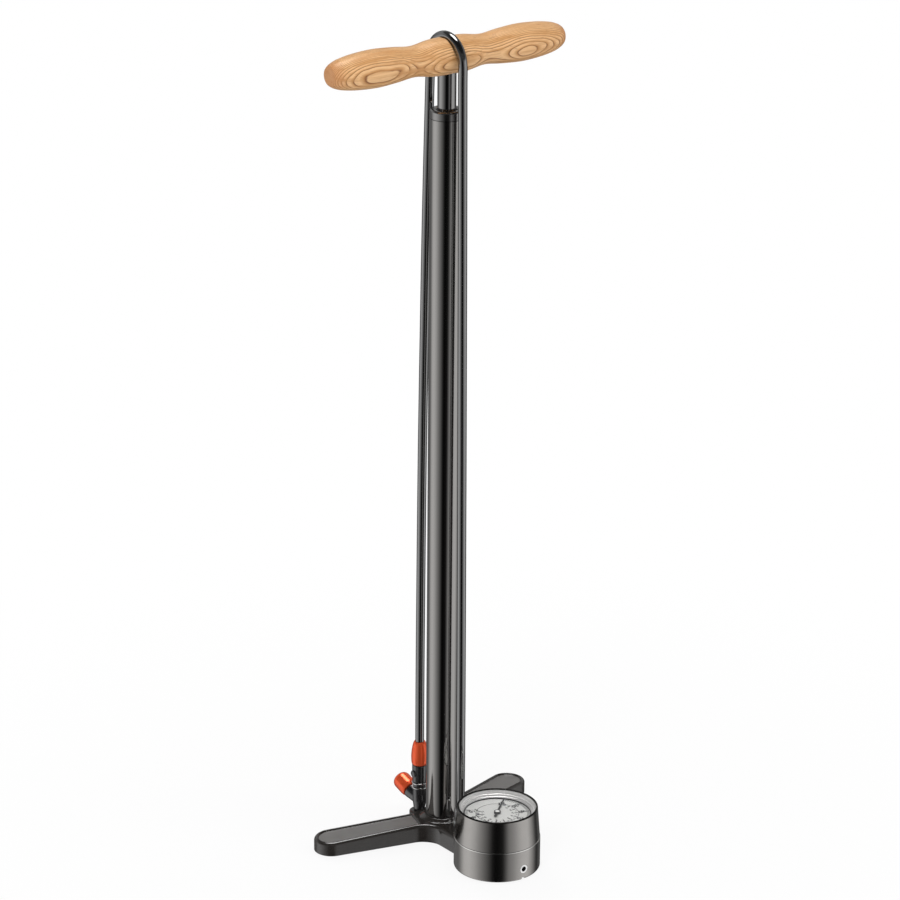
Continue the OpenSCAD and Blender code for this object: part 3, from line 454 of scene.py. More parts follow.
# Hose: it leaves the fitting on the arm, goes over the handle and ends in the docked chuck; the route gives
# millimetres behind the barrel's axis and up
HOSE_ROUTE = [
    (-27, 34), (-27, 50), (-27, 80), (-26.8, 130), (-26.5, 180), (-26, 240), (-25.5, 300),
    (-25, 360), (-24.4, 420), (-23.8, 480), (-23.2, 540), (-22.5, 600), (-21.9, 650), (-21.4, 690),
    (-21.3, 708), (-19.6, 716.4), (-14.9, 723.6), (-7.7, 728.3), (0.7, 730), (9.1, 728.3),
    (16.3, 723.6), (21, 716.4), (22.7, 708), (23.3, 690), (24.6, 650), (26.2, 600), (27.8, 540),
    (29, 480), (30.2, 420), (31.2, 360), (31.9, 300), (32.4, 240), (32.8, 180), (33, 130),
    (33, 90), (33, 62.5),
]
HOSE_STEPS, HOSE_SIDES = 8, 28


def tube_piece(name, line, radius, sides):
    """A round tube along a line that stays in the plane of Y and Z."""
    ways = np.gradient(line, axis=0)
    ways /= np.linalg.norm(ways, axis=1)[:, None]
    out = np.array([1.0, 0, 0])
    points = [p + radius * (math.cos(a) * out + math.sin(a) * np.cross(way, out))
              for p, way in zip(line, ways) for a in circle_angles(sides)]
    return mesh_piece(name, points, capped_faces(len(line), sides))


def add_hose(looks):
    route = smooth_line(HOSE_ROUTE, HOSE_STEPS) * MM
    line = np.column_stack([np.zeros(len(route)), route[:, 0] + AXIS_Y, route[:, 1]])
    hose = tube_piece("hose_tube", line, HOSE_R, HOSE_SIDES)
    set_look(hose, "hose_black", looks)
    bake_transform(hose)
    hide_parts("hose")


# Handle: a turned grip with a groove across its top for the hose (millimetres)
HANDLE_SIDE = [
    (-16.92, 15.5), (0, 16), (16.92, 15.5), (36, 13), (55.5, 14.8), (75, 16), (94.1, 15.1),
    (108.7, 13), (116, 10.7), (119.3, 8.9),
]
HANDLE_END = [(120.0, 8.35), (120.4, 7.8), (120.5, 7.2)]
GROOVE_MID_R, GROOVE_R = 22.6, 5.0
GROOVE_Y, GROOVE_Z = 0.7, -5.3
GROOVE_BEVEL, GROOVE_FLARE, GROOVE_ZONE = 1.0, 1.5, 8
HANDLE_TIP, HANDLE_STEPS, HANDLE_SIDES = 116, 12, 144
GROOVE_PITCH, GRIP_PITCH, TIP_PITCH = 0.25, 1.5, 0.6
HANDLE_HOLES = [
    ("rod_hole", 8.06, 680, 714.5), ("bolt_hole", 4.1, 714, 720), ("head_hole", 6.6, 719.3, 740),
]


def handle_stations():
    """Distances from the middle, close together where the groove is."""
    last = HANDLE_SIDE[-1][0]
    groove = np.arange(0, GROOVE_ZONE, GROOVE_PITCH)
    grip = np.arange(GROOVE_ZONE, HANDLE_TIP, GRIP_PITCH)
    tip = np.arange(HANDLE_TIP, last, TIP_PITCH)
    half = np.concatenate([groove, grip, tip, [last], [x for x, r in HANDLE_END]])
    return np.concatenate([-half[:0:-1], half])


def handle_radius(x):
    """Radius of the turned grip at a distance from its middle."""
    side = np.vstack([smooth_line(HANDLE_SIDE, HANDLE_STEPS), HANDLE_END])
    return np.interp(abs(x), side[:, 0], side[:, 1])


def groove_limit(x, angles):
    """How far out the wood goes at each angle before it meets the groove."""
    far = max(0.0, abs(x) - GROOVE_R)
    inner = GROOVE_MID_R - math.sqrt(max(0.0, GROOVE_R**2 - x**2)) + GROOVE_FLARE * far
    along = np.cos(angles) * GROOVE_Y + np.sin(angles) * GROOVE_Z
    return along + np.sqrt(along**2 + inner**2 - GROOVE_Y**2 - GROOVE_Z**2)


def soft_min(a, b, width):
    """The smaller of two values, rounded where they cross."""
    share = np.clip(0.5 + 0.5 * (b - a) / width, 0, 1)
    return b + (a - b) * share - width * share * (1 - share)


def add_handle(looks):
    angles = circle_angles(HANDLE_SIDES)
    points = []
    stations = handle_stations()
    for x in stations:
        radius = soft_min(handle_radius(x), groove_limit(x, angles), GROOVE_BEVEL)
        ring = np.column_stack([np.full(HANDLE_SIDES, x), radius * np.cos(angles), radius * np.sin(angles)])
        points.append(ring * MM + np.array([0, AXIS_Y, HANDLE_Z]))
    handle = mesh_piece("handle_turned", np.vstack(points), capped_faces(len(stations), HANDLE_SIDES))
    for name, radius, low, high in HANDLE_HOLES:
        cut_with(handle, post(name, radius * MM, low * MM, high * MM))
    set_look(handle, "handle_wood", looks)
    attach(handle, "plunger")
    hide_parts("handle_grip")


# Spring of the one-way valve (millimetres)
SPRING_R, SPRING_WIRE_R, SPRING_TURNS = 3.4, 0.35, 5
SPRING_LOW, SPRING_HIGH, POPPET_TRAVEL = 9.4, 17.8, 2.0


def add_spring(looks):
    sides, turn_steps = 10, 32
    steps = SPRING_TURNS * turn_steps
    up = np.array([0, 0, 1])
    points = []
    for i in range(steps + 1):
        turn = 2 * math.pi * i / turn_steps
        out = np.array([math.cos(turn), math.sin(turn), 0])
        middle = SPRING_R * out + (SPRING_LOW + (SPRING_HIGH - SPRING_LOW) * i / steps) * up
        points += [middle + SPRING_WIRE_R * (math.cos(a) * out + math.sin(a) * up)
                   for a in circle_angles(sides)]
    points = np.array(points) * MM + np.array([0, AXIS_Y, 0])
    spring = mesh_piece("valve_spring", points, capped_faces(steps + 1, sides))
    set_look(spring, "spring_steel", looks)
    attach(spring, "base")
    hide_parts("check_valve_spring")
    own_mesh(spring)


# Cast foot: one height field over its plan, with rounded rims, sunk panels, a flared hub and hollows below
# (millimetres from the barrel's axis)
LEG_SWEEP = math.radians(17)
LEG_REACH, HUB_R = 104.0, 18.9
LEG_TIP_R, LEG_ROOT_R = 15.5, 13.5
LEG_ROOT_H, LEG_TIP_H = 17.0, 13.0
LEG_SLOPE = (LEG_ROOT_H - LEG_TIP_H) / (LEG_REACH - HUB_R)
ARM_R, ARM_END = 18.5, 60.5
CORNER_R, EDGE_R = 14.0, 3.0
PANEL_BORDER, PANEL_START, PANEL_DEPTH, PANEL_EDGE = 3.6, 24.5, 1.3, 0.8
HUB_FOOT_R, HUB_FOOT_H, HUB_BLEND = 24.9, 10.0, 1.6
HUB_FLARE = [
    (15.6, 20.0), (16.4, 19.3), (17.5, 18.3), (18.9, 17.0), (20.5, 14.6), (22.3, 12.0),
    (HUB_FOOT_R, HUB_FOOT_H),
]
SOCKET_R, SOCKET_FLOOR = 14.4, 9.0
DOCK_R, DOCK_REACH, DOCK_H, DOCK_EDGE = 9.0, 33.0, 9.0, 1.2
PEDESTAL_R, PEDESTAL_Y = 34.9, -80.0
FOOT_GAP, LEAST_H, POCKET_H = 0.5, 1.0, 2.0
TIP_POCKET_R, GAUGE_POCKET_R = 10.6, 30.0
HOLLOW_START, HOLLOW_END, HOLLOW_WALL, HOLLOW_ROOF = 32.9, 75.0, 5.0, 7.0
CAST_GLOSSY, CAST_SATIN = (0.024, 0.021, 0.019), (0.12, 0.115, 0.11)
CAST_IOR, SATIN_ROUGHER = 1.75, 0.28
PANEL_NEAR, PANEL_LEVEL, PANEL_FADE = (0.3, 0.5), (0.9, 0.97), 1.0

# Lines of the plan, a step to each side of a wall and down the roundings, by the distance outside each
# shape; at the hub by the distance from its axis
STEP = 0.02
WALL_LINES = (STEP, -STEP)
RIM_LINES = (*WALL_LINES, -0.15, -0.5, -1.0, -1.7, -2.4, -3.0)
PANEL_LINES = (0.82, 0.6, 0.35, 0.12, -0.12, -0.35, -0.6, -0.82)
DOCK_LINES = (*WALL_LINES, -0.2, -0.6, -1.2)
HUB_LINES = (SOCKET_R - STEP, SOCKET_R + STEP, 15.0, *[r for r, z in HUB_FLARE])

# Grid of the plan, and how near counts as the same place
PLAN_X, PLAN_Y, PLAN_PITCH = (-117.3, 117.4), (-117.1, 48.0), 0.6
FILL_EVERY, FILL_INSET = 6, 1.0
OFF_GRID, ON_PLAN, SAME_POINT, ON_BORDER = 1e-7, 1e-3, 1e-4, 0.01

# Shading: reach of the slopes, and the slope that counts as a step
WALL_REACH, TOP_REACH, STEEP = 0.05, 0.04, 5


def panel_share(n):
    """1 on the floor of a leg's sunk panel and 0 elsewhere, from the place below the leg's sloping top."""
    where = n.add("ShaderNodeSeparateXYZ", {0: n.place((1 / MM,) * 3, (0, -AXIS_Y, 0))}).outputs
    out = n.math("MULTIPLY", n.math("ABSOLUTE", where["X"]), math.cos(LEG_SWEEP))
    reach = n.math("ADD", out, n.math("MULTIPLY", where["Y"], math.sin(LEG_SWEEP)))
    top = n.math("SUBTRACT", LEG_ROOT_H + LEG_SLOPE * HUB_R, n.math("MULTIPLY", reach, LEG_SLOPE))
    off_floor = n.math("ABSOLUTE", n.math("SUBTRACT", n.math("SUBTRACT", top, where["Z"]), PANEL_DEPTH))
    near = n.spread(off_floor, 1.0, 0.0, *PANEL_NEAR)
    upward = n.along(n.add("ShaderNodeNewGeometry").outputs["Normal"], (0, 0, 1))
    level = n.spread(upward, 0.0, 1.0, *PANEL_LEVEL)
    on_leg = n.spread(reach, 0.0, 1.0, PANEL_START - PANEL_FADE, PANEL_START)
    return n.math("MULTIPLY", n.math("MULTIPLY", near, level), on_leg)


def cast_look():
    """Glossy black casting with a satin floor in the sunk panels."""
    material, n, shader = new_material("cast")
    panel = panel_share(n)
    fine = n.noise(n.place(), 1200.0, 4.0)
    tone = n.spread(n.noise(n.place(), 100.0), 0.85, 1.15)
    colour = n.blend(panel, CAST_GLOSSY, CAST_SATIN)
    toned = n.add("ShaderNodeVectorMath", {0: colour, "Scale": tone}, operation="SCALE").outputs[0]
    rough = n.math("ADD", n.spread(fine, 0.12, 0.20), n.math("MULTIPLY", panel, SATIN_ROUGHER))
    n.feed(shader.inputs["Base Color"], toned)
    n.feed(shader.inputs["Roughness"], rough)
    n.feed(shader.inputs["Normal"], n.bump(fine, 0.001 * MM))
    shader.inputs["IOR"].default_value = CAST_IOR
    return material


def along_leg(x, y):
    return np.abs(x) * math.cos(LEG_SWEEP) + y * math.sin(LEG_SWEEP)


def leg_shape(x, y, start, end, start_r, end_r):
    """Distance outside a tapered leg with round ends; both legs at once, as the foot is symmetrical."""
    p = along_leg(x, y) - start
    q = np.abs(y * math.cos(LEG_SWEEP) - np.abs(x) * math.sin(LEG_SWEEP))
    lean = (start_r - end_r) / (end - start)
    level = math.sqrt(1 - lean * lean)
    k = level * p - lean * q
    side = level * q + lean * p - start_r
    near = np.hypot(p, q) - start_r
    far = np.hypot(p - (end - start), q) - end_r
    return np.where(k < 0, near, np.where(k > level * (end - start), far, side))


def lane_shape(x, y, low, high, r):
    """Distance outside a straight lane along Y with round ends."""
    return np.hypot(x, y - np.clip(y, low, high)) - r


def round_join(a, b, r):
    """Union of two shapes with a hollow rounding between them."""
    return np.maximum(r, np.minimum(a, b)) - np.hypot(np.maximum(r - a, 0), np.maximum(r - b, 0))


def soft_max(a, b, width):
    """The larger of two values, rounded where they cross."""
    return -soft_min(-a, -b, width)


def body_shape(x, y):
    """Legs and arm with the round corners between them."""
    legs = leg_shape(x, y, HUB_R, LEG_REACH, LEG_ROOT_R, LEG_TIP_R)
    return round_join(legs, lane_shape(x, y, -ARM_END, 0, ARM_R), CORNER_R)


def dock_shape(x, y):
    return lane_shape(x, y, 0, DOCK_REACH, DOCK_R)


def pedestal_shape(x, y):
    return np.hypot(x, y - PEDESTAL_Y) - PEDESTAL_R


def foot_shape(x, y):
    hub = np.hypot(x, y) - HUB_FOOT_R
    parts = [body_shape(x, y), dock_shape(x, y), pedestal_shape(x, y), hub]
    return np.minimum.reduce(parts)


def panel_shape(x, y):
    border = leg_shape(x, y, HUB_R, LEG_REACH, LEG_ROOT_R - PANEL_BORDER, LEG_TIP_R - PANEL_BORDER)
    return np.maximum(border, PANEL_START - along_leg(x, y))


def hollow_shape(x, y):
    return leg_shape(x, y, HOLLOW_START, HOLLOW_END, LEG_ROOT_R - HOLLOW_WALL, LEG_TIP_R - HOLLOW_WALL)


def pocket_shape(x, y):
    tip_x, tip_y = LEG_REACH * math.cos(LEG_SWEEP), LEG_REACH * math.sin(LEG_SWEEP)
    tips = np.hypot(np.abs(x) - tip_x, y - tip_y) - TIP_POCKET_R
    return np.minimum(tips, np.hypot(x, y - PEDESTAL_Y) - GAUGE_POCKET_R)


def edge_drop(outside, r):
    """How far a rounded upper edge lies below the top, by the distance outside the shape."""
    inside = np.clip(-outside, 0, r)
    return r - np.sqrt(np.maximum(0, r * r - (r - inside) ** 2))


def leg_top(x, y):
    return LEG_ROOT_H - LEG_SLOPE * np.maximum(0, along_leg(x, y) - HUB_R)


def foot_top(x, y):
    """Height of the casting's upper side."""
    body = body_shape(x, y)
    share = np.clip(0.5 - panel_shape(x, y) / (2 * PANEL_EDGE), 0, 1)
    sunk = PANEL_DEPTH * share * share * (3 - 2 * share)
    legs = np.where(body <= 0, leg_top(x, y) - edge_drop(body, EDGE_R) - sunk, 0)
    r = np.hypot(x, y)
    flare = np.array(HUB_FLARE)
    hub = np.where(r <= HUB_FOOT_R, np.interp(r, flare[:, 0], flare[:, 1]), 0)
    dock = dock_shape(x, y)
    low = np.where(dock <= 0, DOCK_H - edge_drop(dock, DOCK_EDGE), 0)
    low = np.maximum(low, np.where(pedestal_shape(x, y) <= 0, LEG_ROOT_H, 0))
    top = np.maximum(soft_max(legs, hub, HUB_BLEND), low)
    top = np.maximum(top, np.where(r <= HUB_FOOT_R, HUB_FOOT_H, FOOT_GAP + LEAST_H))
    return np.where(r < SOCKET_R, SOCKET_FLOOR, top)


def foot_bottom(x, y):
    """Height of the casting's lower side, with the hollows under the legs and the pockets of the pads."""
    low = np.where(hollow_shape(x, y) < 0, leg_top(x, y) - HOLLOW_ROOF, FOOT_GAP)
    return np.where(pocket_shape(x, y) < 0, POCKET_H, low)


def level_lines(shape, xs, ys, level):
    """Short line pieces on which a shape's distance has one value."""
    x, y = np.meshgrid(xs, ys)
    f = shape(x, y) - level + OFF_GRID
    inside = f < 0
    mixed = inside[:-1, :-1].astype(int) + inside[1:, :-1] + inside[:-1, 1:] + inside[1:, 1:]
    pieces = []
    for i, j in zip(*np.nonzero((mixed > 0) & (mixed < 4))):
        corners = [(i, j), (i, j + 1), (i + 1, j + 1), (i + 1, j)]
        hits = []
        for a, b in zip(corners, corners[1:] + corners[:1]):
            if inside[a] != inside[b]:
                t = f[a] / (f[a] - f[b])
                hits.append((xs[a[1]] + t * (xs[b[1]] - xs[a[1]]), ys[a[0]] + t * (ys[b[0]] - ys[a[0]])))
        pieces += [(hits[k], hits[k + 1]) for k in range(0, len(hits) - 1, 2)]
    return pieces


def foot_lines(xs, ys):
    """All the lines that the casting's edges and roundings follow; the hub's are circles."""
    families = [
        (foot_shape, [0]), (body_shape, RIM_LINES), (panel_shape, PANEL_LINES), (np.hypot, HUB_LINES),
        (dock_shape, DOCK_LINES), (hollow_shape, WALL_LINES), (pocket_shape, WALL_LINES),
    ]
    pieces = []
    for shape, levels in families:
        for level in levels:
            pieces += level_lines(shape, xs, ys, level)
    return pieces


def foot_plan():
    """Points and triangles of the casting's plan, cut along its lines."""
    xs, ys = np.arange(*PLAN_X, PLAN_PITCH), np.arange(*PLAN_Y, PLAN_PITCH)
    pieces = np.array(foot_lines(xs, ys))
    middles = pieces.mean(1)
    ends = pieces[foot_shape(middles[:, 0], middles[:, 1]) < ON_PLAN].reshape(-1, 2)
    x, y = np.meshgrid(xs[::FILL_EVERY], ys[::FILL_EVERY])
    fill = np.column_stack([x.ravel(), y.ravel()])
    fill = fill[foot_shape(fill[:, 0], fill[:, 1]) < -FILL_INSET]
    points = [Vector(p) for p in np.vstack([ends, fill])]
    edges = [(2 * k, 2 * k + 1) for k in range(len(ends) // 2)]
    found = delaunay_2d_cdt(points, edges, [], 0, SAME_POINT)
    plan = np.array([tuple(v) for v in found[0]])
    triangles = np.array(found[2])
    middle = plan[triangles].mean(1)
    return plan, triangles[foot_shape(middle[:, 0], middle[:, 1]) < 0]


def border_edges(triangles):
    """Directed edges that only one triangle uses."""
    edges = np.vstack([triangles[:, [0, 1]], triangles[:, [1, 2]], triangles[:, [2, 0]]])
    used = {tuple(e) for e in edges.tolist()}
    return [e for e in used if (e[1], e[0]) not in used]


def slope(shape, x, y, h):
    """Rise of a shape along X and along Y."""
    across = (shape(x + h, y) - shape(x - h, y)) / (2 * h)
    ahead = (shape(x, y + h) - shape(x, y - h)) / (2 * h)
    return across, ahead


def wall_normals(x, y):
    across, ahead = slope(foot_shape, x, y, WALL_REACH)
    ways = np.column_stack([across, ahead, np.zeros(len(x))])
    return ways / np.linalg.norm(ways, axis=1)[:, None]


def top_normals(x, y):
    """Directions of the upper side; level at the outer wall, none at steps, which keep their own."""
    across, ahead = slope(foot_top, x, y, TOP_REACH)
    steep = np.maximum(np.abs(across), np.abs(ahead)) > STEEP
    ways = np.column_stack([-across, -ahead, np.ones(len(x))])
    ways /= np.linalg.norm(ways, axis=1)[:, None]
    ways[steep] = 0
    border = np.abs(foot_shape(x, y)) < ON_BORDER
    ways[border] = wall_normals(x[border], y[border])
    return ways


def shade_foot(mesh, x, y, triangles):
    """Smooth shading from the field itself, so that the plan's small triangles don't show."""
    corner = np.array([loop.vertex_index for loop in mesh.loops])
    ways = np.zeros((len(corner), 3))
    tops = 3 * len(triangles)
    ways[:tops] = top_normals(x, y)[corner[:tops]]
    wall = corner[2 * tops:] % len(x)
    ways[2 * tops:] = wall_normals(x[wall], y[wall])
    mesh.normals_split_custom_set(ways.tolist())


def add_foot(looks):
    plan, triangles = foot_plan()
    x, y = plan[:, 0], plan[:, 1]
    top = np.column_stack([x, y, foot_top(x, y)])
    bottom = np.column_stack([x, y, foot_bottom(x, y)])
    count = len(plan)
    faces = [tuple(t) for t in triangles] + [tuple(t[::-1] + count) for t in triangles]
    faces += [(b, a, a + count, b + count) for a, b in border_edges(triangles)]
    points = np.vstack([top, bottom]) * MM + np.array([0, AXIS_Y, 0])
    foot = mesh_piece("foot_cast", points, faces, sharp=32)
    shade_foot(foot.data, x, y, triangles)
    set_look(foot, "cast_black", looks)
    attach(foot, "base")
    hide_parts("base_casting")


# Stepped ring round the dial, up to the shell's lip: radius and height in millimetres
DIAL_SIDES = 128
BEZEL_PROFILE = [
    (33.0, 49.35), (33.0, 54.6), (32.6, 54.6), (32.3, 54.2), (31.9, 53.0), (31.3, 52.8), (30.7, 51.2),
    (30.2, 51.0), (29.4, 49.5), (29.4, 49.35),
]


def add_bezel(looks):
    points, faces = turned(BEZEL_PROFILE, DIAL_SIDES)
    bezel = mesh_piece("bezel_steps", points * MM + np.array([0, GAUGE_Y, 0]), faces, sharp=20)
    set_look(bezel, "bezel_silver", looks)
    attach(bezel, "base")
    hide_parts("gauge_bezel", "lens_ring")


# Domed cap of the chuck's side head, which leans up behind the barrel: millimetres along and off its axis
CAP_TILT = math.radians(19)
CAP_FOOT = np.array([0, AXIS_Y + 33 * MM, 19.5 * MM])
CAP_R, CAP_START, CAP_END = 8.2, 14.5, 31.5
CAP_SOCKET_R, CAP_NECK_R, CAP_SEAT = 4.0, 5.25, 22.3
CAP_DOME_R, CAP_DOME_H, CAP_MOUTH_H = 3.2, 4.4, 1.0
CAP_SKIRT = [(1.0, 0.0), (0.3, 1.2), (0.0, 4.0)]
CAP_SIDES = 72


def cap_profile():
    """Closed loop of radius and height: neck, skirt, dome, mouth and seat."""
    bend = np.radians(np.arange(0, 91, 7.5))
    dome = [(CAP_R - CAP_DOME_R * (1 - math.cos(a)), CAP_END - CAP_DOME_H * (1 - math.sin(a)))
            for a in bend]
    skirt = [(CAP_R - inset, CAP_START + rise) for inset, rise in CAP_SKIRT]
    mouth = [(CAP_SOCKET_R, CAP_END - CAP_MOUTH_H), (CAP_SOCKET_R, CAP_SEAT), (CAP_NECK_R, CAP_SEAT)]
    return [(CAP_NECK_R, CAP_START)] + skirt + dome + mouth


def add_side_cap(looks):
    points, faces = turned(cap_profile(), CAP_SIDES)
    lean, rise = math.cos(CAP_TILT), math.sin(CAP_TILT)
    turn = np.array([[1, 0, 0], [0, rise, -lean], [0, lean, rise]])
    cap = mesh_piece("side_cap_domed", points @ turn * MM + CAP_FOOT, faces, sharp=30)
    set_look(cap, "chuck_red", looks)
    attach(cap, "side_cap")
    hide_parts("side_head_cap")


# Dial print: two scales of lines and numbers, read from behind the pump; a ring line; painted shadow at the
# rim
SCALE_START, SCALE_SWEEP = 40.0, 270.0
PRINT_T, PRINT_WEIGHT = 0.06 * MM, 0.045

# Each scale: last value, step of its lines, step of its numbers, outer radius, lengths and widths of its
# short and long lines, radius and size of its numbers
SCALES = [
    (160, 2.5, 20, 28.4, (2.4, 4.2), (0.8, 1.5), 21.6, 6.0),
    (11, 0.5, 1, 17.9, (1.6, 2.8), (0.7, 1.2), 13.4, 3.5),
]

# Each ring on the dial: inner radius, outer radius, height; the second, a black band at the edge, is
# painted shadow
DIAL_RINGS_AND_GAP_SHADE = [(18.6, 19.1, 0.06), (28.7, 29.35, 0.9)]


def scale_angle(share):
    """Direction of a reading, by its share of the scale."""
    return math.radians(SCALE_START - SCALE_SWEEP * share)


def tick(angle, r_in, r_out, width):
    """Points and faces of one printed line, a thin block."""
    out = np.array([math.cos(angle), math.sin(angle), 0])
    side = np.array([-out[1], out[0], 0]) * width / 2
    flat = [out * r_in - side, out * r_out - side, out * r_out + side, out * r_in + side]
    lift = np.array([0, 0, PRINT_T])
    faces = [(3, 2, 1, 0), (4, 5, 6, 7), (0, 1, 5, 4), (1, 2, 6, 5), (2, 3, 7, 6), (3, 0, 4, 7)]
    return flat + [p + lift for p in flat], faces


def scale_ticks(top, step, number_step, r_edge, lengths, widths):
    """All the lines of one scale; longer lines at the numbers."""
    lines = []
    for i in range(round(top / step) + 1):
        numbered = int((i * step) % number_step == 0)
        r_in = r_edge - lengths[numbered] * MM
        lines.append(tick(scale_angle(i * step / top), r_in, r_edge, widths[numbered] * MM))
    return join_parts(lines)


def number_mesh(text, size):
    """The outline of a number as a thin solid."""
    curve = bpy.data.curves.new("number", "FONT")
    curve.body = text
    curve.size = size
    curve.align_x = curve.align_y = "CENTER"
    curve.extrude = PRINT_T / 2
    curve.offset = size * PRINT_WEIGHT
    piece = bpy.data.objects.new("number", curve)
    SCENE.collection.objects.link(piece)
    bpy.context.view_layer.update()
    mesh = bpy.data.meshes.new_from_object(piece.evaluated_get(bpy.context.evaluated_depsgraph_get()))
    points = [np.array(v.co) for v in mesh.vertices]
    faces = [tuple(p.vertices) for p in mesh.polygons]
    bpy.data.objects.remove(piece)
    return points, faces


def scale_numbers(top, step, r, size):
    """The numbers of one scale, upright for a reader behind the pump."""
    numbers = []
    for i in range(round(top / step) + 1):
        angle = scale_angle(i * step / top)
        centre = np.array([r * math.cos(angle), r * math.sin(angle), PRINT_T / 2])
        points, faces = number_mesh(str(i * step), size)
        numbers.append(([centre + np.array([-q[0], -q[1], q[2]]) for q in points], faces))
    return join_parts(numbers)


def add_dial_marks_and_gap_shade(looks):
    parts = []
    for top, step, number_step, r_edge, lengths, widths, r_numbers, size in SCALES:
        parts.append(scale_ticks(top, step, number_step, r_edge * MM, lengths, widths))
        parts.append(scale_numbers(top, number_step, r_numbers * MM, size * MM))
    for r_in, r_out, height in DIAL_RINGS_AND_GAP_SHADE:
        profile = np.array([(r_in, 0), (r_out, 0), (r_out, height), (r_in, height)])
        parts.append(turned(profile * MM, DIAL_SIDES))
    points, faces = join_parts(parts)
    lift = np.array([0, GAUGE_Y, DIAL_TOP])
    # Print, ring line and the black band of painted shadow at the dial's edge, in one piece
    printed = mesh_piece("dial_marks_and_gap_shade", [p + lift for p in points], faces)
    set_look(printed, "pointer_dark", looks)
    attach(printed, "base")


# Stage: white surroundings with dark flags that show only in polished sides
FLAGS = [
    (0, 0.2), (20, 0.14), (58, 0.14), (74, 0.12), (84, 0.04), (92, 0.06), (103, 0.3), (116, 0.65),
    (128, 0.95), (148, 0.9), (160, 0.72), (173, 0.5), (186, 0.36), (195, 0.12), (202, 0.015), (222, 0.004),
    (230, 0.015), (238, 0.09), (252, 0.27), (266, 0.48), (281, 0.77), (298, 0.98), (316, 0.92), (329, 0.5),
    (341, 0.22), (360, 0.2),
]
AMBIENT = 0.55
FLAGS_FADE = (0.0, 0.3)
CEILING_LOW, CEILING_HIGH, CEILING_FADE = 0.45, 0.1, (0.48, 0.62)
VIEW_WAY, FRONT_SHARE, FRONT_FADE = (0.61, 0.79, 0), 0.2, (-0.1, 0.5)
SOFTBOX_WAY, SOFTBOX_GLOW, SOFTBOX_EDGE = (0.157, 0.204, 0.966), 8.0, (0.94, 0.975)
FLOOR_REACH, FLOOR_SIDES = 15.0, 96
FLOOR_DULL, FLOOR_PALE = (0.86, 0.86, 0.86), (0.90, 0.90, 0.90)
FLOOR_GLOW, FLOOR_FADE = 0.86, (0.12, 0.75)
WHITE = (1, 1, 1, 1)

# Each lamp: name, place, aim, size, power
LAMPS = [
    ("key_lamp", (-2.6, -1.6, 2.6), (0, 0, 0.35), 1.6, 48),
    ("fill_lamp", (2.2, -2.6, 1.8), (0, 0, 0.35), 1.8, 22),
    ("back_lamp", (0.6, 2.6, 2.6), (0, 0, 0.35), 1.6, 22),
    ("top_lamp", (0.1, -0.3, 3.0), (0, 0, 0), 1.2, 14),
]


def add_world():
    """White to the camera, even light; mirrored rays see flags low down, a ceiling and a softbox."""
    world = bpy.data.worlds.new("studio")
    SCENE.world = world
    world.use_nodes = True
    n = Nodes(world.node_tree)
    n.tree.nodes.clear()
    way = n.add("ShaderNodeTexCoord").outputs["Generated"]
    split = n.add("ShaderNodeSeparateXYZ", {0: way})
    turn = n.math("ARCTAN2", split.outputs["X"], split.outputs["Y"])
    share = n.math("FRACT", n.math("ADD", n.math("DIVIDE", turn, 2 * math.pi), 1.0))
    flags = n.ramp(share, [(a / 360, (v, v, v)) for a, v in FLAGS])
    high = n.spread(split.outputs["Z"], 0.0, 1.0, *FLAGS_FADE, True)
    glow = n.spread(n.along(way, SOFTBOX_WAY), 0.0, SOFTBOX_GLOW, *SOFTBOX_EDGE, True)
    overhead = n.spread(split.outputs["Z"], CEILING_LOW, CEILING_HIGH, *CEILING_FADE, True)
    behind = n.spread(n.along(way, VIEW_WAY), FRONT_SHARE, 1.0, *FRONT_FADE, True)
    studio = n.blend(high, flags, n.math("MULTIPLY", overhead, behind))
    ray = n.add("ShaderNodeLightPath").outputs
    mirrored = n.math("MAXIMUM", ray["Is Glossy Ray"], ray["Is Transmission Ray"])
    seen = n.add("ShaderNodeBackground", {"Color": WHITE, "Strength": 1.0})
    lit = n.add("ShaderNodeBackground", {"Color": WHITE, "Strength": AMBIENT})
    bright = n.blend(1.0, studio, glow, "ADD")
    shine = n.add("ShaderNodeBackground", {"Color": bright, "Strength": 1.0})
    base = n.add("ShaderNodeMixShader", {0: ray["Is Camera Ray"], 1: lit.outputs[0], 2: seen.outputs[0]})
    whole = n.add("ShaderNodeMixShader", {0: mirrored, 1: base.outputs[0], 2: shine.outputs[0]})
    n.add("ShaderNodeOutputWorld", {"Surface": whole.outputs[0]})


def add_floor():
    """Pale floor that fades to white and keeps the pump's soft shadow."""
    angles = circle_angles(FLOOR_SIDES)
    points = [(FLOOR_REACH * math.cos(a), FLOOR_REACH * math.sin(a), 0) for a in angles]
    floor = mesh_piece("floor", points, [tuple(range(FLOOR_SIDES))])
    material, n, shader = new_material("floor")
    n.tree.nodes.remove(shader)
    cloud = n.noise(n.place(), 3.0)
    cloth = n.add("ShaderNodeBsdfDiffuse", {"Color": n.blend(cloud, FLOOR_DULL, FLOOR_PALE)})
    seen = n.add("ShaderNodeLightPath").outputs["Is Camera Ray"]
    glow = n.add("ShaderNodeEmission", {"Color": WHITE, "Strength": seen})
    white = n.spread(n.length(n.place()), FLOOR_GLOW, 1.0, *FLOOR_FADE, True)
    share = n.math("MULTIPLY", seen, white)
    mixed = n.add("ShaderNodeMixShader", {0: share, 1: cloth.outputs[0], 2: glow.outputs[0]})
    n.feed(n.tree.nodes["Material Output"].inputs["Surface"], mixed.outputs[0])
    floor.data.materials.append(material)
    floor.visible_glossy = False


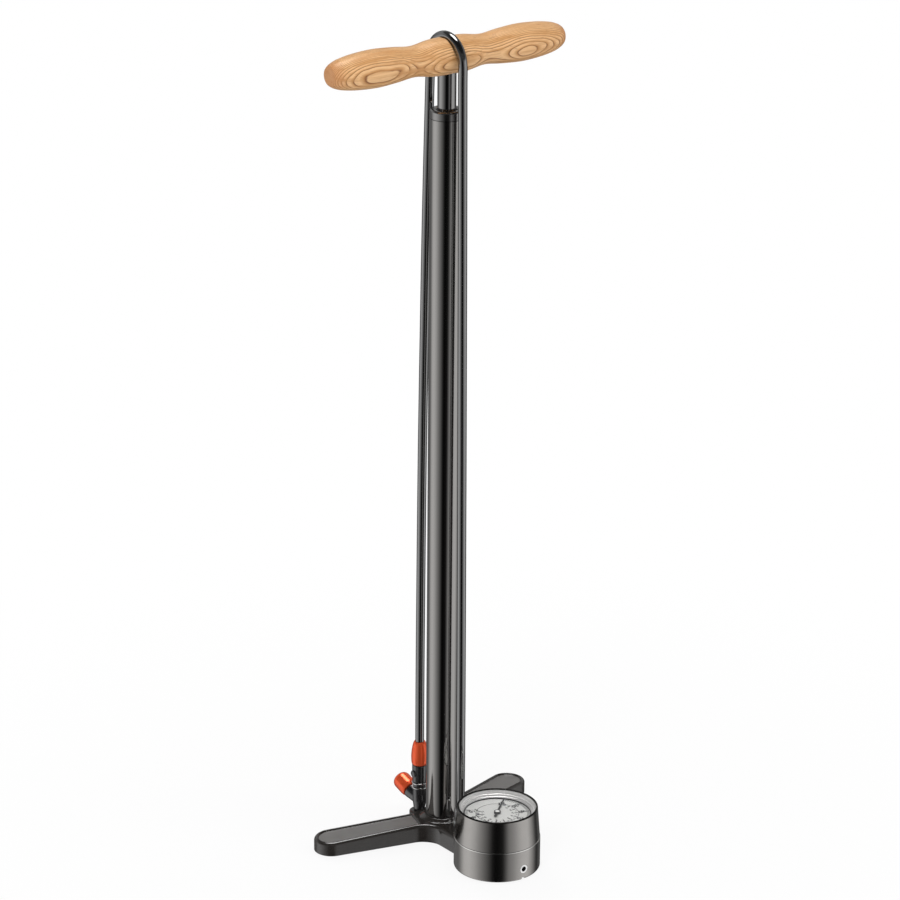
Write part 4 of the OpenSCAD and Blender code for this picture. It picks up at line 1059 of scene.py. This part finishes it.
def add_lamp(name, place, aim, size, power):
    data = bpy.data.lights.new(name, "AREA")
    data.shape = "DISK"
    data.size = size
    data.energy = power
    lamp = bpy.data.objects.new(name, data)
    lamp.location = place
    lamp.rotation_euler = (Vector(aim) - Vector(place)).to_track_quat("-Z", "Y").to_euler()
    lamp.visible_glossy = False
    SCENE.collection.objects.link(lamp)


# CAD nodes by the material slot that the record gives them
NODE_SLOTS = {
    "cast_black": ["base_casting"],
    "rubber_black": ["rubber_feet", "barrel_gasket", "rod_wiper", "check_valve_seal", "check_valve_poppet",
                     "piston_seal", "top_bumper", "side_head_gasket"],
    "barrel_black": ["barrel"],
    "cap_black": ["barrel_cap"],
    "guide_white": ["piston", "rod_bushing"],
    "valve_brass": ["check_valve_body"],
    "spring_steel": ["check_valve_spring", "dial_screws", "pinion_arbor", "sector_link", "side_head_pin"],
    "rod_dark": ["piston_rod"],
    "bolt_steel": ["piston_bolt", "rod_plug", "handle_bolt", "hose_fitting"],
    "screw_bright": ["gauge_set_screw"],
    "handle_wood": ["handle_grip"],
    "gauge_shell": ["gauge_foot", "gauge_shroud"],
    "gauge_steel": ["gauge_case"],
    "movement_brass": ["gauge_socket", "bourdon_tube", "movement_plates", "movement_pillars",
                       "sector_gear"],
    "dial_pale": ["gauge_dial"],
    "pointer_dark": ["gauge_pointer", "pointer_stop"],
    "bezel_silver": ["gauge_bezel", "lens_ring"],
    "lens_clear": ["gauge_lens"],
    "hose_black": ["hose"],
    "chuck_black": ["chuck_body", "bleed_button"],
    "chuck_red": ["chuck_hose_nut", "side_head_cap"],
    "ring_bright": ["chuck_rings"],
}


def dress_frame(looks):
    """Gives every CAD node the look of its material slot."""
    for slot, nodes in NODE_SLOTS.items():
        for name in nodes:
            set_look(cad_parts[name], slot, looks)


add_camera()
looks = make_looks()
add_side_cap(looks)
add_hose(looks)
add_handle(looks)
add_foot(looks)
add_spring(looks)
add_bezel(looks)
add_dial_marks_and_gap_shade(looks)
dress_frame(looks)
add_world()
add_floor()
for lamp in LAMPS:
    add_lamp(*lamp)
SCENE.view_settings.view_transform = "Standard"
